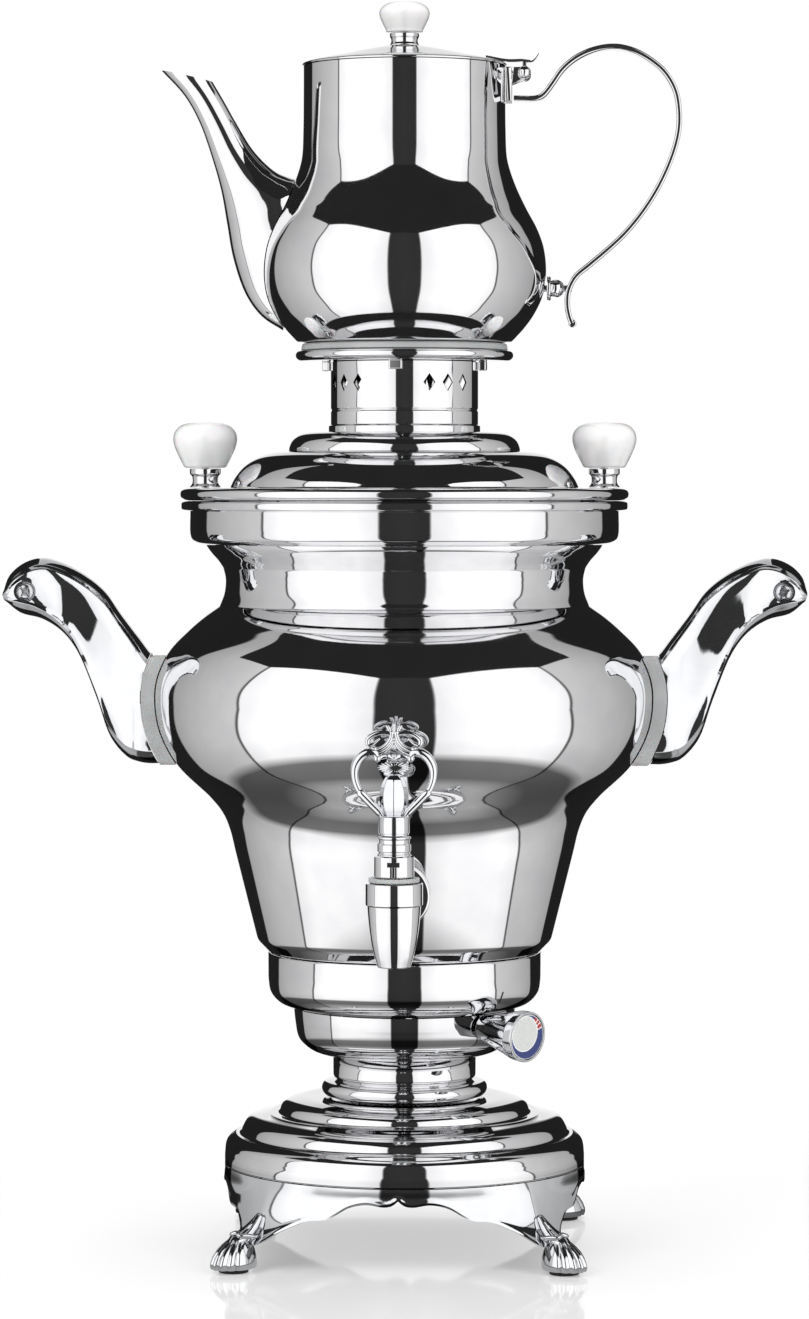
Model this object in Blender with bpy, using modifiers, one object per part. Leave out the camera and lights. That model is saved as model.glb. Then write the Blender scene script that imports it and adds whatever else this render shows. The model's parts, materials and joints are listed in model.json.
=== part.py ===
import math

import bmesh
import bpy
from mathutils import Matrix, Vector

# Electric samovar with a teapot on its crown. Metres, +Z up, front at -Y.
# Names that end in _r are radii, and each piece's heights start at its own foot.

# Shared by all pieces
gap = 0.0003
wall = 0.0008
overrun = 0.002
weld_distance = 0.00001
tank_steps = 32
large_steps = 28
crown_steps = 24
pot_steps = 24
medium_steps = 20
knob_steps = 14
small_steps = 10

# Feet
pad_r = 0.0062
pad_thickness = 0.0015
foot_height = 0.0339
shield_thickness = 0.0022
shield_r = 0.0767
ankle_r = 0.0895
ledge_breadth = 0.0080
ledge_thickness = 0.0026
paw_out = 0.0965
paw_length = 0.0210
paw_breadth = 0.0166
paw_height = 0.0130
screw_play = 0.0004

# Base
dome_rim_height = 0.0050
lower_tier_height = 0.0128
middle_tier_height = 0.0216
dome_height = 0.0283
dome_hole_r = 0.0262
upper_tier_r = 0.0536
middle_tier_r = 0.0701
tread = 0.0036
base_plate_thickness = 0.0012
neck_r = 0.0304
neck_groove_r = 0.0287
neck_bead_r = 0.0353
neck_bead_height = 0.0066
neck_bore_r = 0.0260
neck_height = 0.0176
tie_rod_r = 0.0035
tie_nut_r = 0.0070
tie_nut_height = 0.0052

# Thermostat housing, lower ring and cord gland
housing_height = 0.0200
housing_top_r = 0.0472
housing_foot_r = 0.0330
ring_r = 0.0581
ring_height = 0.0232
ring_seat_r = 0.0475
ring_inner_r = 0.0405
ring_corner = 0.0112
gland_r = 0.0072
gland_neck_r = 0.0056
gland_bore_r = 0.0036
gland_reach = 0.0090
gland_height = 0.0110
gland_flange = 0.0018

# Dial and thermostat
dial_bearing = math.radians(46)
dial_tilt = math.radians(4)
dial_axis_height = 0.0150
dial_start_r = 0.0480
dial_length = 0.0256
dial_root_r = 0.0052
dial_face_r = 0.0106
dial_band = 0.0040
dial_rim = 0.0010
dial_face_thickness = 0.0006
dial_face_inset = 0.0011
spindle_r = 0.0022
spindle_length = 0.0125
thermostat_r = 0.0088
thermostat_front_r = 0.0385
thermostat_length = 0.0120
thermostat_bush_r = 0.0040
terminal_block_size = Vector((0.0180, 0.0100, 0.0090))
terminal_block_offset = 0.0190
cutout_r = 0.0085
cutout_height = 0.0060
cutout_offset = 0.0240

# Tank
tank_flange_r = 0.0500
tank_sole_r = 0.0576
tank_foot_r = 0.0626
tank_foot_height = 0.0052
tank_waist_r = 0.0738
tank_waist_height = 0.0527
tank_belly_r = 0.1063
tank_belly_height = 0.1079
tank_throat_r = 0.0757
tank_throat_height = 0.1582
tank_mouth_r = 0.0848
tank_mouth_height = 0.1727
tank_mouth_depth = 0.0179
tank_hip_seam_height = 0.0850
tank_shoulder_seam_height = 0.1407
tank_height = tank_mouth_height + tank_mouth_depth
floor_thickness = 0.0012
collar_r = 0.0910
collar_height = 0.0183
collar_round = 0.0044
collar_roll_r = 0.0948
collar_roll_height = 0.0040
collar_rise = 0.0010
element_circle_r = 0.0360
element_r = 0.0040
element_lift = 0.0180
element_drop = 0.0080
element_bend = 0.0060
element_gap_angle = math.radians(36)
element_turn_points = 18

# Side handles
handle_boss_x = 0.1604
handle_boss_height = 0.1533
handle_depth = 0.0310
handle_bevel = 0.0034
handle_split = 0.0003
handle_pad_thickness = 0.0057
handle_pad_breadth = 0.0500
handle_pad_below = 0.0280
handle_pad_above = 0.0175
handle_counterbore_depth = 0.0045
end_screw_r = 0.0020
end_screw_head_r = 0.0040
end_screw_head_height = 0.0024
end_screw_length = 0.0190
stud_r = 0.0028
stud_head_r = 0.0050
stud_head_height = 0.0026
stud_depth = 0.0120
stud_seat = 0.0015

# Tap
tap_stand_off = 0.0137
tap_reach = tank_belly_r + tap_stand_off
tap_body_r = 0.01155
tap_tip_r = 0.0064
tap_bottom_height = 0.0059
tap_length = 0.0338
tap_shoulder = 0.0251
tap_bore_r = 0.0063
tap_outlet_r = 0.0044
tap_seat = 0.0180
barrel_r = 0.0060
barrel_bore_r = 0.0036
barrel_rise = 0.0248
tap_flange_r = 0.0135
tap_flange_thickness = 0.0028
tap_gasket_thickness = 0.0042
barrel_inside = 0.0210
lock_nut_r = 0.0105
lock_nut_reach = 0.0095
tap_washer_r = 0.0102
tap_washer_thickness = 0.0017
bonnet_r = 0.0081
bonnet_height = 0.0083
bonnet_spigot = 0.0040
bonnet_notch = 0.0026
packing_nut_r = 0.0068
packing_nut_height = 0.0079
packing_groove = 0.0006
packing_groove_low = 0.0048
packing_groove_high = 0.0062
plug_port_r = 0.0032
stem_r = 0.0030
key_hub_r = 0.00625
key_hub_height = 0.0080
key_roof = 0.0028
key_height = 0.0378
key_half_width = 0.0166
key_thickness = 0.0028
key_bud_r = 0.0050

# Tank lid
lid_roll = 0.0052
lid_rim_r = 0.0952
lid_rim_inner_r = 0.0905
lid_dome_r = 0.0742
lid_dome_height = 0.0153
lid_top_r = 0.0520
lid_hole_r = 0.0285
locating_ring_r = 0.0812
locating_flange = 0.0045
locating_ring_depth = 0.0100
step_dome_r = 0.0491
step_dome_height = 0.0085
step_dome_top_r = 0.0400
crown_flange_r = 0.0385
crown_neck_r = 0.0313
crown_ring_r = 0.0320
crown_ring_height = 0.0042
crown_neck_height = 0.0377
crown_groove = 0.0007
crown_groove_height = 0.0167
vent_width = 0.0053
vent_height = 0.0075
vent_rise = 0.0288
vent_spacing = math.radians(16)
vent_middle = math.radians(34)
vent_groups = 4
vents_in_group = 3
crown_plate_r = 0.0462
crown_plate_thickness = 0.0044
crown_plate_edge = 0.0014
crown_plate_hole_r = 0.0250
crown_spigot_depth = 0.0030
lug_breadth = 0.0057
lug_reach = 0.0032
lug_height = 0.0044
crown_pad_r = 0.0439
crown_pad_bore_r = 0.0340
crown_pad_thickness = 0.0029
lid_knob_circle_r = 0.0848
lid_ferrule_r = 0.0066
lid_ferrule_stem_r = 0.0046
lid_ferrule_height = 0.0080
lid_knob_r = 0.0136
lid_knob_foot_r = 0.0085
lid_knob_top_r = 0.0100
lid_knob_widest = 0.0122
lid_knob_height = 0.0193
knob_screw_r = 0.0016
knob_screw_head_r = 0.0028
knob_screw_head_height = 0.0016
knob_screw_grip = 0.0080

# Teapot
pot_height = 0.1166
pot_foot_r = 0.0465
pot_sole_r = 0.0440
pot_sole_height = 0.0008
pot_belly_r = 0.0601
pot_belly_height = 0.0299
pot_waist_r = 0.0434
pot_waist_height = 0.0790
pot_mouth_r = 0.0427
strainer_hole_r = 0.0022
strainer_pitch = 0.0070
strainer_height = 0.0400
pot_lid_r = 0.0432
pot_lid_rim = 0.0010
pot_lid_rise = 0.0086
pot_lid_clearance = 0.0009
pot_lid_flange_depth = 0.0050
pot_ferrule_r = 0.0062
pot_ferrule_stem_r = 0.0042
pot_ferrule_height = 0.0049
pot_knob_r = 0.0107
pot_knob_foot_r = 0.0072
pot_knob_top_r = 0.0078
pot_knob_widest = 0.0084
pot_knob_height = 0.0131
spout_reach = 0.1031
spout_breadth = 0.0145
spout_segments = 14
hinge_out = 0.0508
hinge_drop = 0.0030
hinge_pin_r = 0.0012
hinge_barrel_r = 0.0026
hinge_ball_r = 0.0027
hinge_ear = 0.0020
hinge_leaf_half = 0.0022
bracket_thickness = 0.0028
bracket_breadth = 0.0110
bracket_height = 0.0150
leaf_thickness = 0.0013
leaf_overlap = 0.0075
leaf_rise = 0.0006
lever_reach = 0.0064
lever_rise = 0.0085
lever_thickness = 0.0013
strap_thickness = 0.0020
strap_breadth = 0.0110
strap_reach = 0.1160
strap_heel_height = 0.0221
strap_drop = pot_height - strap_heel_height
strap_root_r = pot_mouth_r + bracket_thickness + gap
spacer_reach = 0.0089
strap_heel_r = pot_belly_r + spacer_reach
spacer_ball_r = 0.0038
spacer_disc_r = 0.0052
spacer_disc_thickness = 0.0016
spacer_height = 0.0230
rivet_r = 0.0014
rivet_head_r = 0.0026
rivet_head_height = 0.0012

# Outlines between two named points: shares of the way across and of the way down
dome_upper_tier_shares = ((0.50, 0.06), (0.88, 0.40))
dome_middle_tier_shares = ((0.74, 0.36),)
dome_lower_tier_shares = ((0.80, 0.42),)
housing_shares = ((0.14, 0.64), (0.31, 0.79), (0.56, 0.91))
ring_shares = ((0.10, 0.42), (0.45, 0.80))
tank_cove_shares = ((0.52, 0.33),)
tank_shoulder_shares = ((0.20, 0.26), (0.51, 0.42), (0.79, 0.60), (0.96, 0.815))
tank_hip_shares = ((0.07, 0.26), (0.31, 0.52), (0.76, 0.77))
lid_dome_shares = ((0.38, 0.11), (0.78, 0.49))
step_dome_shares = ((0.55, 0.16), (0.94, 0.58))
porcelain_top_shares = ((0.72, 0.25),)
porcelain_foot_shares = ((0.20, 0.36), (0.68, 0.74))
# A ferrule: share of the way from its stem out to its cup, share of its height
ferrule_shares = ((1.00, 0.72), (0.00, 0.50), (0.00, 0.26))
pot_shoulder_shares = ((0.06, 0.10), (0.24, 0.27), (0.485, 0.446), (0.784, 0.635), (0.934, 0.788))
pot_hip_shares = ((0.16, 0.40), (0.40, 0.62), (0.76, 0.86))

# Scalloped lower edge of a foot: share of the half span from its middle, share of its height
scallop_shares = (
    (0.00, 0.26), (0.09, 0.27), (0.17, 0.41), (0.26, 0.50), (0.36, 0.575),
    (0.50, 0.61), (0.66, 0.765), (0.78, 0.81), (0.90, 0.785), (1.00, 0.86),
)
# A foot's shield: share of its height, share of the way out to the ankle there
flare_shares = ((1.00, 0.00), (0.78, 0.01), (0.60, 0.14), (0.42, 0.46), (0.26, 1.00))
shield_row_shares = (0.0, 0.5, 1.0)
# A paw from above, front to back: bearing in degrees, share of its half length and half breadth
paw_plan = (
    (0, 0.87), (16, 1.00), (32, 0.88), (50, 1.00), (68, 0.90), (100, 0.96), (140, 0.96), (180, 0.92),
)
# A paw's levels: share of its height, share of its plan, share of its length that it steps back
paw_level_shares = ((0.00, 0.88, 0.00), (0.30, 1.00, 0.00), (0.68, 0.84, 0.05), (1.00, 0.36, 0.17))

# Side handle, shares of the boss's distance from the axis and of its height over the belly
handle_top_shares = (
    (1.0638, 1.000), (1.0506, 1.140), (1.0160, 1.254), (0.9670, 1.310), (0.9155, 1.272),
    (0.8490, 1.151), (0.7960, 0.996), (0.7540, 0.786), (0.6640, 0.383), (0.6200, 0.300),
)
handle_low_shares = (
    (0.6200, -0.610), (0.6760, -0.620), (0.7350, -0.563), (0.7790, -0.386), (0.8150, -0.030),
    (0.8680, 0.429), (0.9100, 0.621), (0.9620, 0.738), (1.0190, 0.794), (1.0500, 0.860),
)

# Spout stations: heel out, heel up, throat out, throat up, as shares of the spout's reach and
# the pot's height, and the half breadth as a share of the greatest
spout_shares = (
    (1.000, 0.990, 0.789, 0.948, 0.46),
    (0.905, 0.898, 0.745, 0.882, 0.44),
    (0.843, 0.800, 0.693, 0.800, 0.45),
    (0.793, 0.675, 0.618, 0.695, 0.53),
    (0.755, 0.555, 0.535, 0.625, 0.68),
    (0.730, 0.430, 0.480, 0.603, 0.84),
    (0.706, 0.310, 0.426, 0.588, 0.95),
    (0.653, 0.175, 0.400, 0.570, 1.00),
    (0.587, 0.096, 0.360, 0.555, 1.00),
    (0.500, 0.045, 0.320, 0.540, 0.96),
)

# Strap handle: shares of the way out from its root, or back in to its heel, and of its drop
# below the pot's mouth
strap_rise_shares = (
    (0.002, 0.144), (0.150, 0.144), (0.194, 0.121), (0.240, 0.076), (0.298, 0.016),
    (0.380, -0.036), (0.488, -0.072), (0.610, -0.085), (0.725, -0.067), (0.834, -0.022),
    (0.919, 0.034), (0.979, 0.113), (1.000, 0.202),
)
strap_fall_shares = (
    (0.995, 0.292), (0.941, 0.398), (0.825, 0.530), (0.679, 0.647), (0.516, 0.746), (0.363, 0.818),
    (0.200, 0.886), (0.074, 0.940), (0.010, 1.003), (0.000, 1.066), (0.020, 1.120), (0.042, 1.149),
)

# Bends of the lid's hinge leaf about the pin, in shares of its barrel's radius
leaf_bend_shares = ((-1.5, 1.6), (-0.8, 0.5), (0.8, 0.3), (0.4, 1.4), (-1.0, 1.9))

# Tap key, right half: shares of the half width and of the height over the hub
key_edge_shares = (
    (0.00, -0.04), (0.30, -0.04), (0.48, 0.045), (0.84, 0.170), (0.965, 0.310), (1.00, 0.462),
    (0.93, 0.635), (0.74, 0.715), (0.72, 0.790), (0.52, 0.890), (0.17, 0.925), (0.15, 1.000),
    (0.00, 1.000),
)
key_loop_shares = (
    (0.44, 0.115), (0.70, 0.230), (0.805, 0.345), (0.83, 0.462), (0.765, 0.575), (0.62, 0.645),
    (0.36, 0.590), (0.42, 0.400),
)
key_bow_shares = ((0.52, 0.745), (0.56, 0.775), (0.42, 0.835), (0.19, 0.860), (0.25, 0.795), (0.38, 0.745))
key_arch_shares = ((0.00, 0.610), (0.24, 0.635), (0.34, 0.680), (0.20, 0.720), (0.11, 0.780), (0.00, 0.850))
key_bud_shares = ((0.30, 0.560), (0.62, 0.470), (1.00, 0.220), (0.55, -0.040))

for old in list(bpy.data.objects):
    bpy.data.objects.remove(old, do_unlink=True)

parts = bpy.data.collections.new("samovar")
cutters = bpy.data.collections.new("samovar_cutters")
bpy.context.scene.collection.children.link(parts)
bpy.context.scene.collection.children.link(cutters)


def look(name, colour, metallic, roughness):
    material = bpy.data.materials.new(name)
    material.use_nodes = True
    shader = material.node_tree.nodes["Principled BSDF"]
    shader.inputs["Base Color"].default_value = (*colour, 1.0)
    shader.inputs["Metallic"].default_value = metallic
    shader.inputs["Roughness"].default_value = roughness
    material.diffuse_color = (*colour, 1.0)
    return material


def empty(name, location, parent=None, rotation=(0, 0, 0)):
    frame = bpy.data.objects.new(name, None)
    frame.location = location
    frame.rotation_euler = rotation
    frame.parent = parent
    parts.objects.link(frame)
    return frame


def add(name, mesh, material, parent, location=(0, 0, 0), rotation=(0, 0, 0)):
    """Places a mesh. Without a material it is a cutter or a blank for another piece."""
    piece = bpy.data.objects.new(name, mesh)
    piece.location = location
    piece.rotation_euler = rotation
    piece.parent = parent
    if material is None:
        piece.hide_render = True
        piece.display_type = "WIRE"
        cutters.objects.link(piece)
    else:
        if not mesh.materials:
            mesh.materials.append(material)
        parts.objects.link(piece)
    return piece


def mesh_of(bm, name):
    bmesh.ops.recalc_face_normals(bm, faces=bm.faces)
    mesh = bpy.data.meshes.new(name)
    bm.to_mesh(mesh)
    bm.free()
    return mesh


def baked(piece, name):
    """The mesh of a blank with its modifiers applied. The blank itself goes."""
    bpy.context.view_layer.update()
    graph = bpy.context.evaluated_depsgraph_get()
    mesh = bpy.data.meshes.new_from_object(piece.evaluated_get(graph))
    mesh.name = name
    mesh.materials.clear()
    bpy.data.objects.remove(piece, do_unlink=True)
    return mesh


def between(start, end, shares):
    return [
        (start[0] + (end[0] - start[0]) * across, start[1] + (end[1] - start[1]) * down)
        for across, down in shares
    ]


def arc(centre, radius, start, end, count):
    angles = [math.radians(start + (end - start) * i / count) for i in range(count + 1)]
    return [
        (centre[0] + radius * math.cos(angle), centre[1] + radius * math.sin(angle))
        for angle in angles
    ]


def outward(outline, distance):
    """An outline that runs down an outer side, moved square to itself."""
    moved = []
    for i, point in enumerate(outline):
        here = Vector(point)
        legs = []
        if i > 0:
            legs.append(here - Vector(outline[i - 1]))
        if i < len(outline) - 1:
            legs.append(Vector(outline[i + 1]) - here)
        normals = [Vector((-leg.y, leg.x)).normalized() for leg in legs]
        middle = (normals[0] + normals[-1]).normalized()
        moved.append(tuple(here + middle * distance / middle.dot(normals[0])))
    return moved


def crossings(outline, height):
    """Where an outline that runs downward passes a height."""
    return [
        upper[0] + (lower[0] - upper[0]) * (upper[1] - height) / (upper[1] - lower[1])
        for upper, lower in zip(outline, outline[1:]) if upper[1] >= height > lower[1]
    ]


def turned(name, outline, material, steps, parent, location=(0, 0, 0), rotation=(0, 0, 0), sheet=0,
           closed=True):
    """Turns an outline about Z. A sheet thickness makes a shell of an open one."""
    count = len(outline)
    edges = [(i, i + 1) for i in range(count - 1)]
    if closed and not sheet:
        edges.append((count - 1, 0))
    mesh = bpy.data.meshes.new(name)
    mesh.from_pydata([(r, 0, z) for r, z in outline], edges, [])
    piece = add(name, mesh, material, parent, location, rotation)
    screw = piece.modifiers.new("turn", "SCREW")
    screw.axis = "Z"
    screw.steps = screw.render_steps = steps
    screw.use_merge_vertices = True
    screw.merge_threshold = weld_distance
    screw.use_smooth_shade = True
    if sheet:
        thicken(piece, sheet)
    return piece


def thicken(piece, thickness):
    solid = piece.modifiers.new("sheet", "SOLIDIFY")
    solid.thickness = thickness
    solid.offset = -1
    solid.use_even_offset = True
    return piece


def round_edges(piece, width):
    rounding = piece.modifiers.new("rounding", "BEVEL")
    rounding.width = width
    rounding.segments = 2
    rounding.angle_limit = math.radians(50)
    return piece


def cylinder(name, radius, low, high, material, parent, location=(0, 0, 0), rotation=(0, 0, 0),
             sides=small_steps):
    bm = bmesh.new()
    prism(bm, radius, low, high, sides)
    piece = add(name, mesh_of(bm, name), material, parent, location, rotation)
    if sides > 8:
        piece.data.shade_smooth()
        piece.data.set_sharp_from_angle(angle=math.radians(40))
    return piece


def prism(bm, radius, low, high, sides, matrix=None):
    place = Matrix.Translation((0, 0, (low + high) / 2))
    bmesh.ops.create_cone(
        bm, cap_ends=True, segments=sides, radius1=radius, radius2=radius, depth=high - low,
        matrix=matrix @ place if matrix else place,
    )


def tube(name, radius, bore, low, high, material, parent, location=(0, 0, 0), rotation=(0, 0, 0),
         steps=small_steps):
    outline = [(radius, high), (radius, low), (bore, low), (bore, high)]
    return turned(name, outline, material, steps, parent, location, rotation)


def box(name, size, material, parent, location=(0, 0, 0), rotation=(0, 0, 0)):
    bm = bmesh.new()
    bmesh.ops.create_cube(bm, size=1)
    bmesh.ops.scale(bm, vec=size, verts=bm.verts)
    return add(name, mesh_of(bm, name), material, parent, location, rotation)


def plate(name, points, thickness, material, parent, location=(0, 0, 0), holes=()):
    """A flat outline in the XZ plane, as thick as given about its own middle."""
    curve = bpy.data.curves.new(name, "CURVE")
    curve.dimensions = "2D"
    curve.fill_mode = "BOTH"
    curve.extrude = thickness / 2
    for ring in (points, *holes):
        spline = curve.splines.new("POLY")
        spline.points.add(len(ring) - 1)
        for knot, (x, z) in zip(spline.points, ring):
            knot.co = (x, z, 0, 1)
        spline.use_cyclic_u = True
    mesh = welded(curve, name)
    mesh.transform(Matrix.Rotation(math.radians(90), 4, "X"))
    return add(name, mesh, material, parent, location)


def welded(curve, name):
    """A curve as a mesh whose caps are closed."""
    guide = bpy.data.objects.new(name + "_guide", curve)
    cutters.objects.link(guide)
    mesh = baked(guide, name)
    bm = bmesh.new()
    bm.from_mesh(mesh)
    bmesh.ops.remove_doubles(bm, verts=bm.verts, dist=weld_distance)
    return mesh_of(bm, name)


def strip_outline(points, thickness):
    """The outline of a strip with its middle along the points."""
    half = thickness / 2
    return outward(points, half) + list(reversed(outward(points, -half)))


def wire(name, points, radius, material, parent, location=(0, 0, 0)):
    """A round wire along points, as a closed mesh."""
    curve = bpy.data.curves.new(name, "CURVE")
    curve.dimensions = "3D"
    curve.use_fill_caps = True
    curve.bevel_depth = radius
    curve.bevel_resolution = 2
    spline = curve.splines.new("POLY")
    spline.points.add(len(points) - 1)
    for knot, point in zip(spline.points, points):
        knot.co = (*point, 1)
    mesh = welded(curve, name)
    mesh.shade_smooth()
    return add(name, mesh, material, parent, location)


def combine(piece, operation, tools):
    for tool in tools:
        step = piece.modifiers.new(operation.lower() + "_" + tool.name, "BOOLEAN")
        step.operation = operation
        step.object = tool
        step.solver = "EXACT"
    return piece


def cut(piece, *tools):
    return combine(piece, "DIFFERENCE", tools)


def join(piece, *tools):
    return combine(piece, "UNION", tools)


def keep(piece, *tools):
    return combine(piece, "INTERSECT", tools)


def bolt(name, head_r, head_height, shank_r, length, material, parent, location, rotation=(0, 0, 0)):
    """A screw about Z: its head from 0 down, its shank from 0 up."""
    outline = [
        (0, length), (shank_r, length), (shank_r, 0), (head_r, 0), (head_r, -head_height),
        (0, -head_height),
    ]
    return turned(
        name, outline, material, small_steps, parent, location, rotation, closed=False
    )


def facing(bearing, tilt=0):
    """Turns +Z outward at a bearing from the front towards +X, tilted down."""
    return (math.radians(90) + tilt, 0, bearing)


def moved_to(x, y, z, rotation=(0, 0, 0)):
    turn = Matrix.Rotation(rotation[2], 4, "Z") @ Matrix.Rotation(rotation[0], 4, "X")
    return Matrix.Translation((x, y, z)) @ turn


# Heights over the table
foot_base = pad_thickness + gap
foot_top = foot_base + foot_height
dome_base = foot_top + gap
dome_top = dome_base + dome_height
neck_base = dome_top + gap
neck_top = neck_base + neck_height
housing_base = neck_top + gap
housing_top = housing_base + housing_height
ring_base = housing_top + gap
ring_top = ring_base + ring_height
tank_base = ring_top + gap
tank_top = tank_base + tank_height
floor_base = tank_base + wall + gap
floor_top = floor_base + floor_thickness
belly_z = tank_base + tank_belly_height
collar_top = tank_top + collar_rise
tap_bottom = tank_base + tap_bottom_height
tap_top = tap_bottom + tap_length
washer_base = tap_top + gap
bonnet_base = washer_base + tap_washer_thickness + gap
bonnet_top = bonnet_base + bonnet_height
packing_base = bonnet_top + gap
packing_top = packing_base + packing_nut_height
hub_base = packing_top + gap
hub_top = hub_base + key_hub_height
lid_base = collar_top + gap
lid_rim_top = lid_base + lid_roll
lid_top = lid_rim_top + lid_dome_height
crown_base = lid_top + gap
crown_top = crown_base + crown_neck_height
plate_base = crown_top + gap
plate_top = plate_base + crown_plate_thickness
crown_pad_base = plate_top + gap
crown_pad_top = crown_pad_base + crown_pad_thickness
pot_base = crown_pad_top + gap
pot_top = pot_base + pot_height
pot_lid_base = pot_top + gap
pot_lid_top = pot_lid_base + pot_lid_rise
hinge_z = pot_top - hinge_drop

# The origin lies under the middle of the depth, so the axis stands a little behind it
axis = empty("samovar_axis", (0, (tap_reach + tap_body_r - tank_belly_r) / 2, 0))
tap_axis = empty("tap_axis", (0, -tap_reach, 0), axis)
dial_axis = empty(
    "dial_axis",
    (
        dial_start_r * math.sin(dial_bearing), -dial_start_r * math.cos(dial_bearing),
        housing_base + dial_axis_height,
    ),
    axis, facing(dial_bearing, dial_tilt),
)
tank_lid_frame = empty("tank_lid_frame", (0, 0, 0), axis)
pot_frame = empty("pot_frame", (0, 0, 0), tank_lid_frame)
pot_hinge = empty("pot_hinge", (hinge_out, 0, hinge_z), pot_frame)
from_hinge = (-hinge_out, 0, -hinge_z)

chrome = look("polished_steel", (0.86, 0.86, 0.87), 1.0, 0.06)
cast = look("chromed_casting", (0.84, 0.84, 0.85), 1.0, 0.08)
plain = look("plain_steel", (0.62, 0.62, 0.63), 1.0, 0.32)
rubber = look("black_rubber", (0.05, 0.05, 0.05), 0.0, 0.7)
silicone = look("grey_silicone", (0.62, 0.63, 0.63), 0.0, 0.45)
porcelain = look("white_porcelain", (0.9, 0.9, 0.89), 0.0, 0.12)
nylon = look("black_nylon", (0.03, 0.03, 0.03), 0.0, 0.5)
ceramic = look("cream_ceramic", (0.75, 0.72, 0.64), 0.0, 0.4)
dial_print = look("dial_print", (0.72, 0.73, 0.74), 0.0, 0.35)


foot_corners = {
    "rear_right": math.radians(45), "rear_left": math.radians(135),
    "front_left": math.radians(225), "front_right": math.radians(315),
}


def foot_flare(height):
    """Share of the way out to the ankle at a share of the foot's height."""
    for (upper, near), (lower, far) in zip(flare_shares, flare_shares[1:]):
        if height >= lower:
            return near + (far - near) * (upper - height) / (upper - lower)
    return flare_shares[-1][1]


def make_feet():
    """One casting: a scalloped apron all round with a ledge inside it, and a paw at each corner."""
    half_span = math.radians(45)
    edge = [(-share, low) for share, low in reversed(scallop_shares[1:])] + list(scallop_shares[:-1])
    bm = bmesh.new()
    columns = []
    for corner in foot_corners.values():
        for share, low in edge:
            column = []
            for row_share in shield_row_shares:
                height = 1 - (1 - low) * row_share
                reach = shield_r + (ankle_r - shield_r) * foot_flare(height)
                turn = Matrix.Rotation(corner + share * half_span, 3, "Z")
                column.append(bm.verts.new(turn @ Vector((reach, 0, foot_base + foot_height * height))))
            columns.append(column)
    for first, second in zip(columns, columns[1:] + columns[:1]):
        for i in range(len(shield_row_shares) - 1):
            bm.faces.new((first[i], first[i + 1], second[i + 1], second[i]))
    base = thicken(add("claw_base", mesh_of(bm, "claw_base"), cast, axis), shield_thickness)
    base.data.shade_smooth()
    base.data.set_sharp_from_angle(angle=math.radians(40))
    ledge_r = shield_r - shield_thickness / 2
    joined = [tube(
        "base_ledge", ledge_r, ledge_r - ledge_breadth, foot_top - gap - ledge_thickness,
        foot_top - gap, None, axis, steps=large_steps,
    )]
    for word, corner in foot_corners.items():
        joined.append(paw("paw_" + word, corner))
        pad_at = Matrix.Rotation(corner, 3, "Z") @ Vector((paw_out, 0, 0))
        cylinder("foot_pad_" + word, pad_r, 0, pad_thickness, rubber, axis, pad_at)
    join(base, *joined)


def paw(name, corner):
    """Four toes and a heel, flat underneath."""
    half = [(math.radians(bearing), reach) for bearing, reach in paw_plan]
    plan = half + [(-bearing, reach) for bearing, reach in reversed(half[1:-1])]
    bm = bmesh.new()
    rings = [
        [
            bm.verts.new((
                paw_out - paw_length * back + paw_length / 2 * reach * size * math.cos(bearing),
                paw_breadth / 2 * reach * size * math.sin(bearing), foot_base + paw_height * up,
            ))
            for bearing, reach in plan
        ]
        for up, size, back in paw_level_shares
    ]
    for lower, upper in zip(rings, rings[1:]):
        for i in range(len(plan)):
            j = (i + 1) % len(plan)
            bm.faces.new((lower[i], lower[j], upper[j], upper[i]))
    bm.faces.new(rings[0])
    bm.faces.new(rings[-1])
    return add(name, mesh_of(bm, name), None, axis, rotation=(0, 0, corner))


def make_base():
    upper = (upper_tier_r, dome_base + middle_tier_height)
    middle_start = (upper_tier_r + tread, upper[1])
    middle = (middle_tier_r, dome_base + lower_tier_height)
    lower_start = (middle_tier_r + tread / 2, middle[1])
    lower = (shield_r, dome_base + dome_rim_height)
    shoulder = (neck_bead_r, dome_top)
    outline = [(dome_hole_r, dome_top), shoulder]
    outline += between(shoulder, upper, dome_upper_tier_shares) + [upper, middle_start]
    outline += between(middle_start, middle, dome_middle_tier_shares) + [middle, lower_start]
    outline += between(lower_start, lower, dome_lower_tier_shares) + [lower, (shield_r, dome_base)]
    turned("base_dome", outline, chrome, large_steps, axis, sheet=wall)

    plate_r = shield_r - shield_thickness - ledge_breadth / 2
    under_ledge = foot_top - ledge_thickness - gap * 2
    tube(
        "base_plate", plate_r, tie_rod_r + screw_play, under_ledge - base_plate_thickness,
        under_ledge, plain, axis, steps=large_steps,
    )
    bead_top = neck_base + neck_bead_height
    bead = arc(
        (neck_bead_r - neck_bead_height / 2, neck_base + neck_bead_height / 2), neck_bead_height / 2,
        90, -90, 4,
    )
    groove_top = bead_top + neck_r - neck_groove_r
    outline = [(neck_r, neck_top), (neck_r, groove_top), (neck_groove_r, bead_top)]
    outline += bead + [(neck_bore_r, neck_base), (neck_bore_r, neck_top)]
    turned("base_neck", outline, chrome, medium_steps, axis)

    floor = housing_base + wall + gap
    nut_top = under_ledge - base_plate_thickness - gap
    rod_low = nut_top - tie_nut_height - overrun
    tie_rod = cylinder("tie_rod", tie_nut_r, floor, floor + tie_nut_height, plain, axis, sides=6)
    shank = cylinder("tie_rod_shank", tie_rod_r, rod_low, floor + overrun, None, axis)
    nut = cylinder("tie_rod_nut", tie_nut_r, nut_top - tie_nut_height, nut_top, None, axis, sides=6)
    join(tie_rod, shank, nut)


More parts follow.
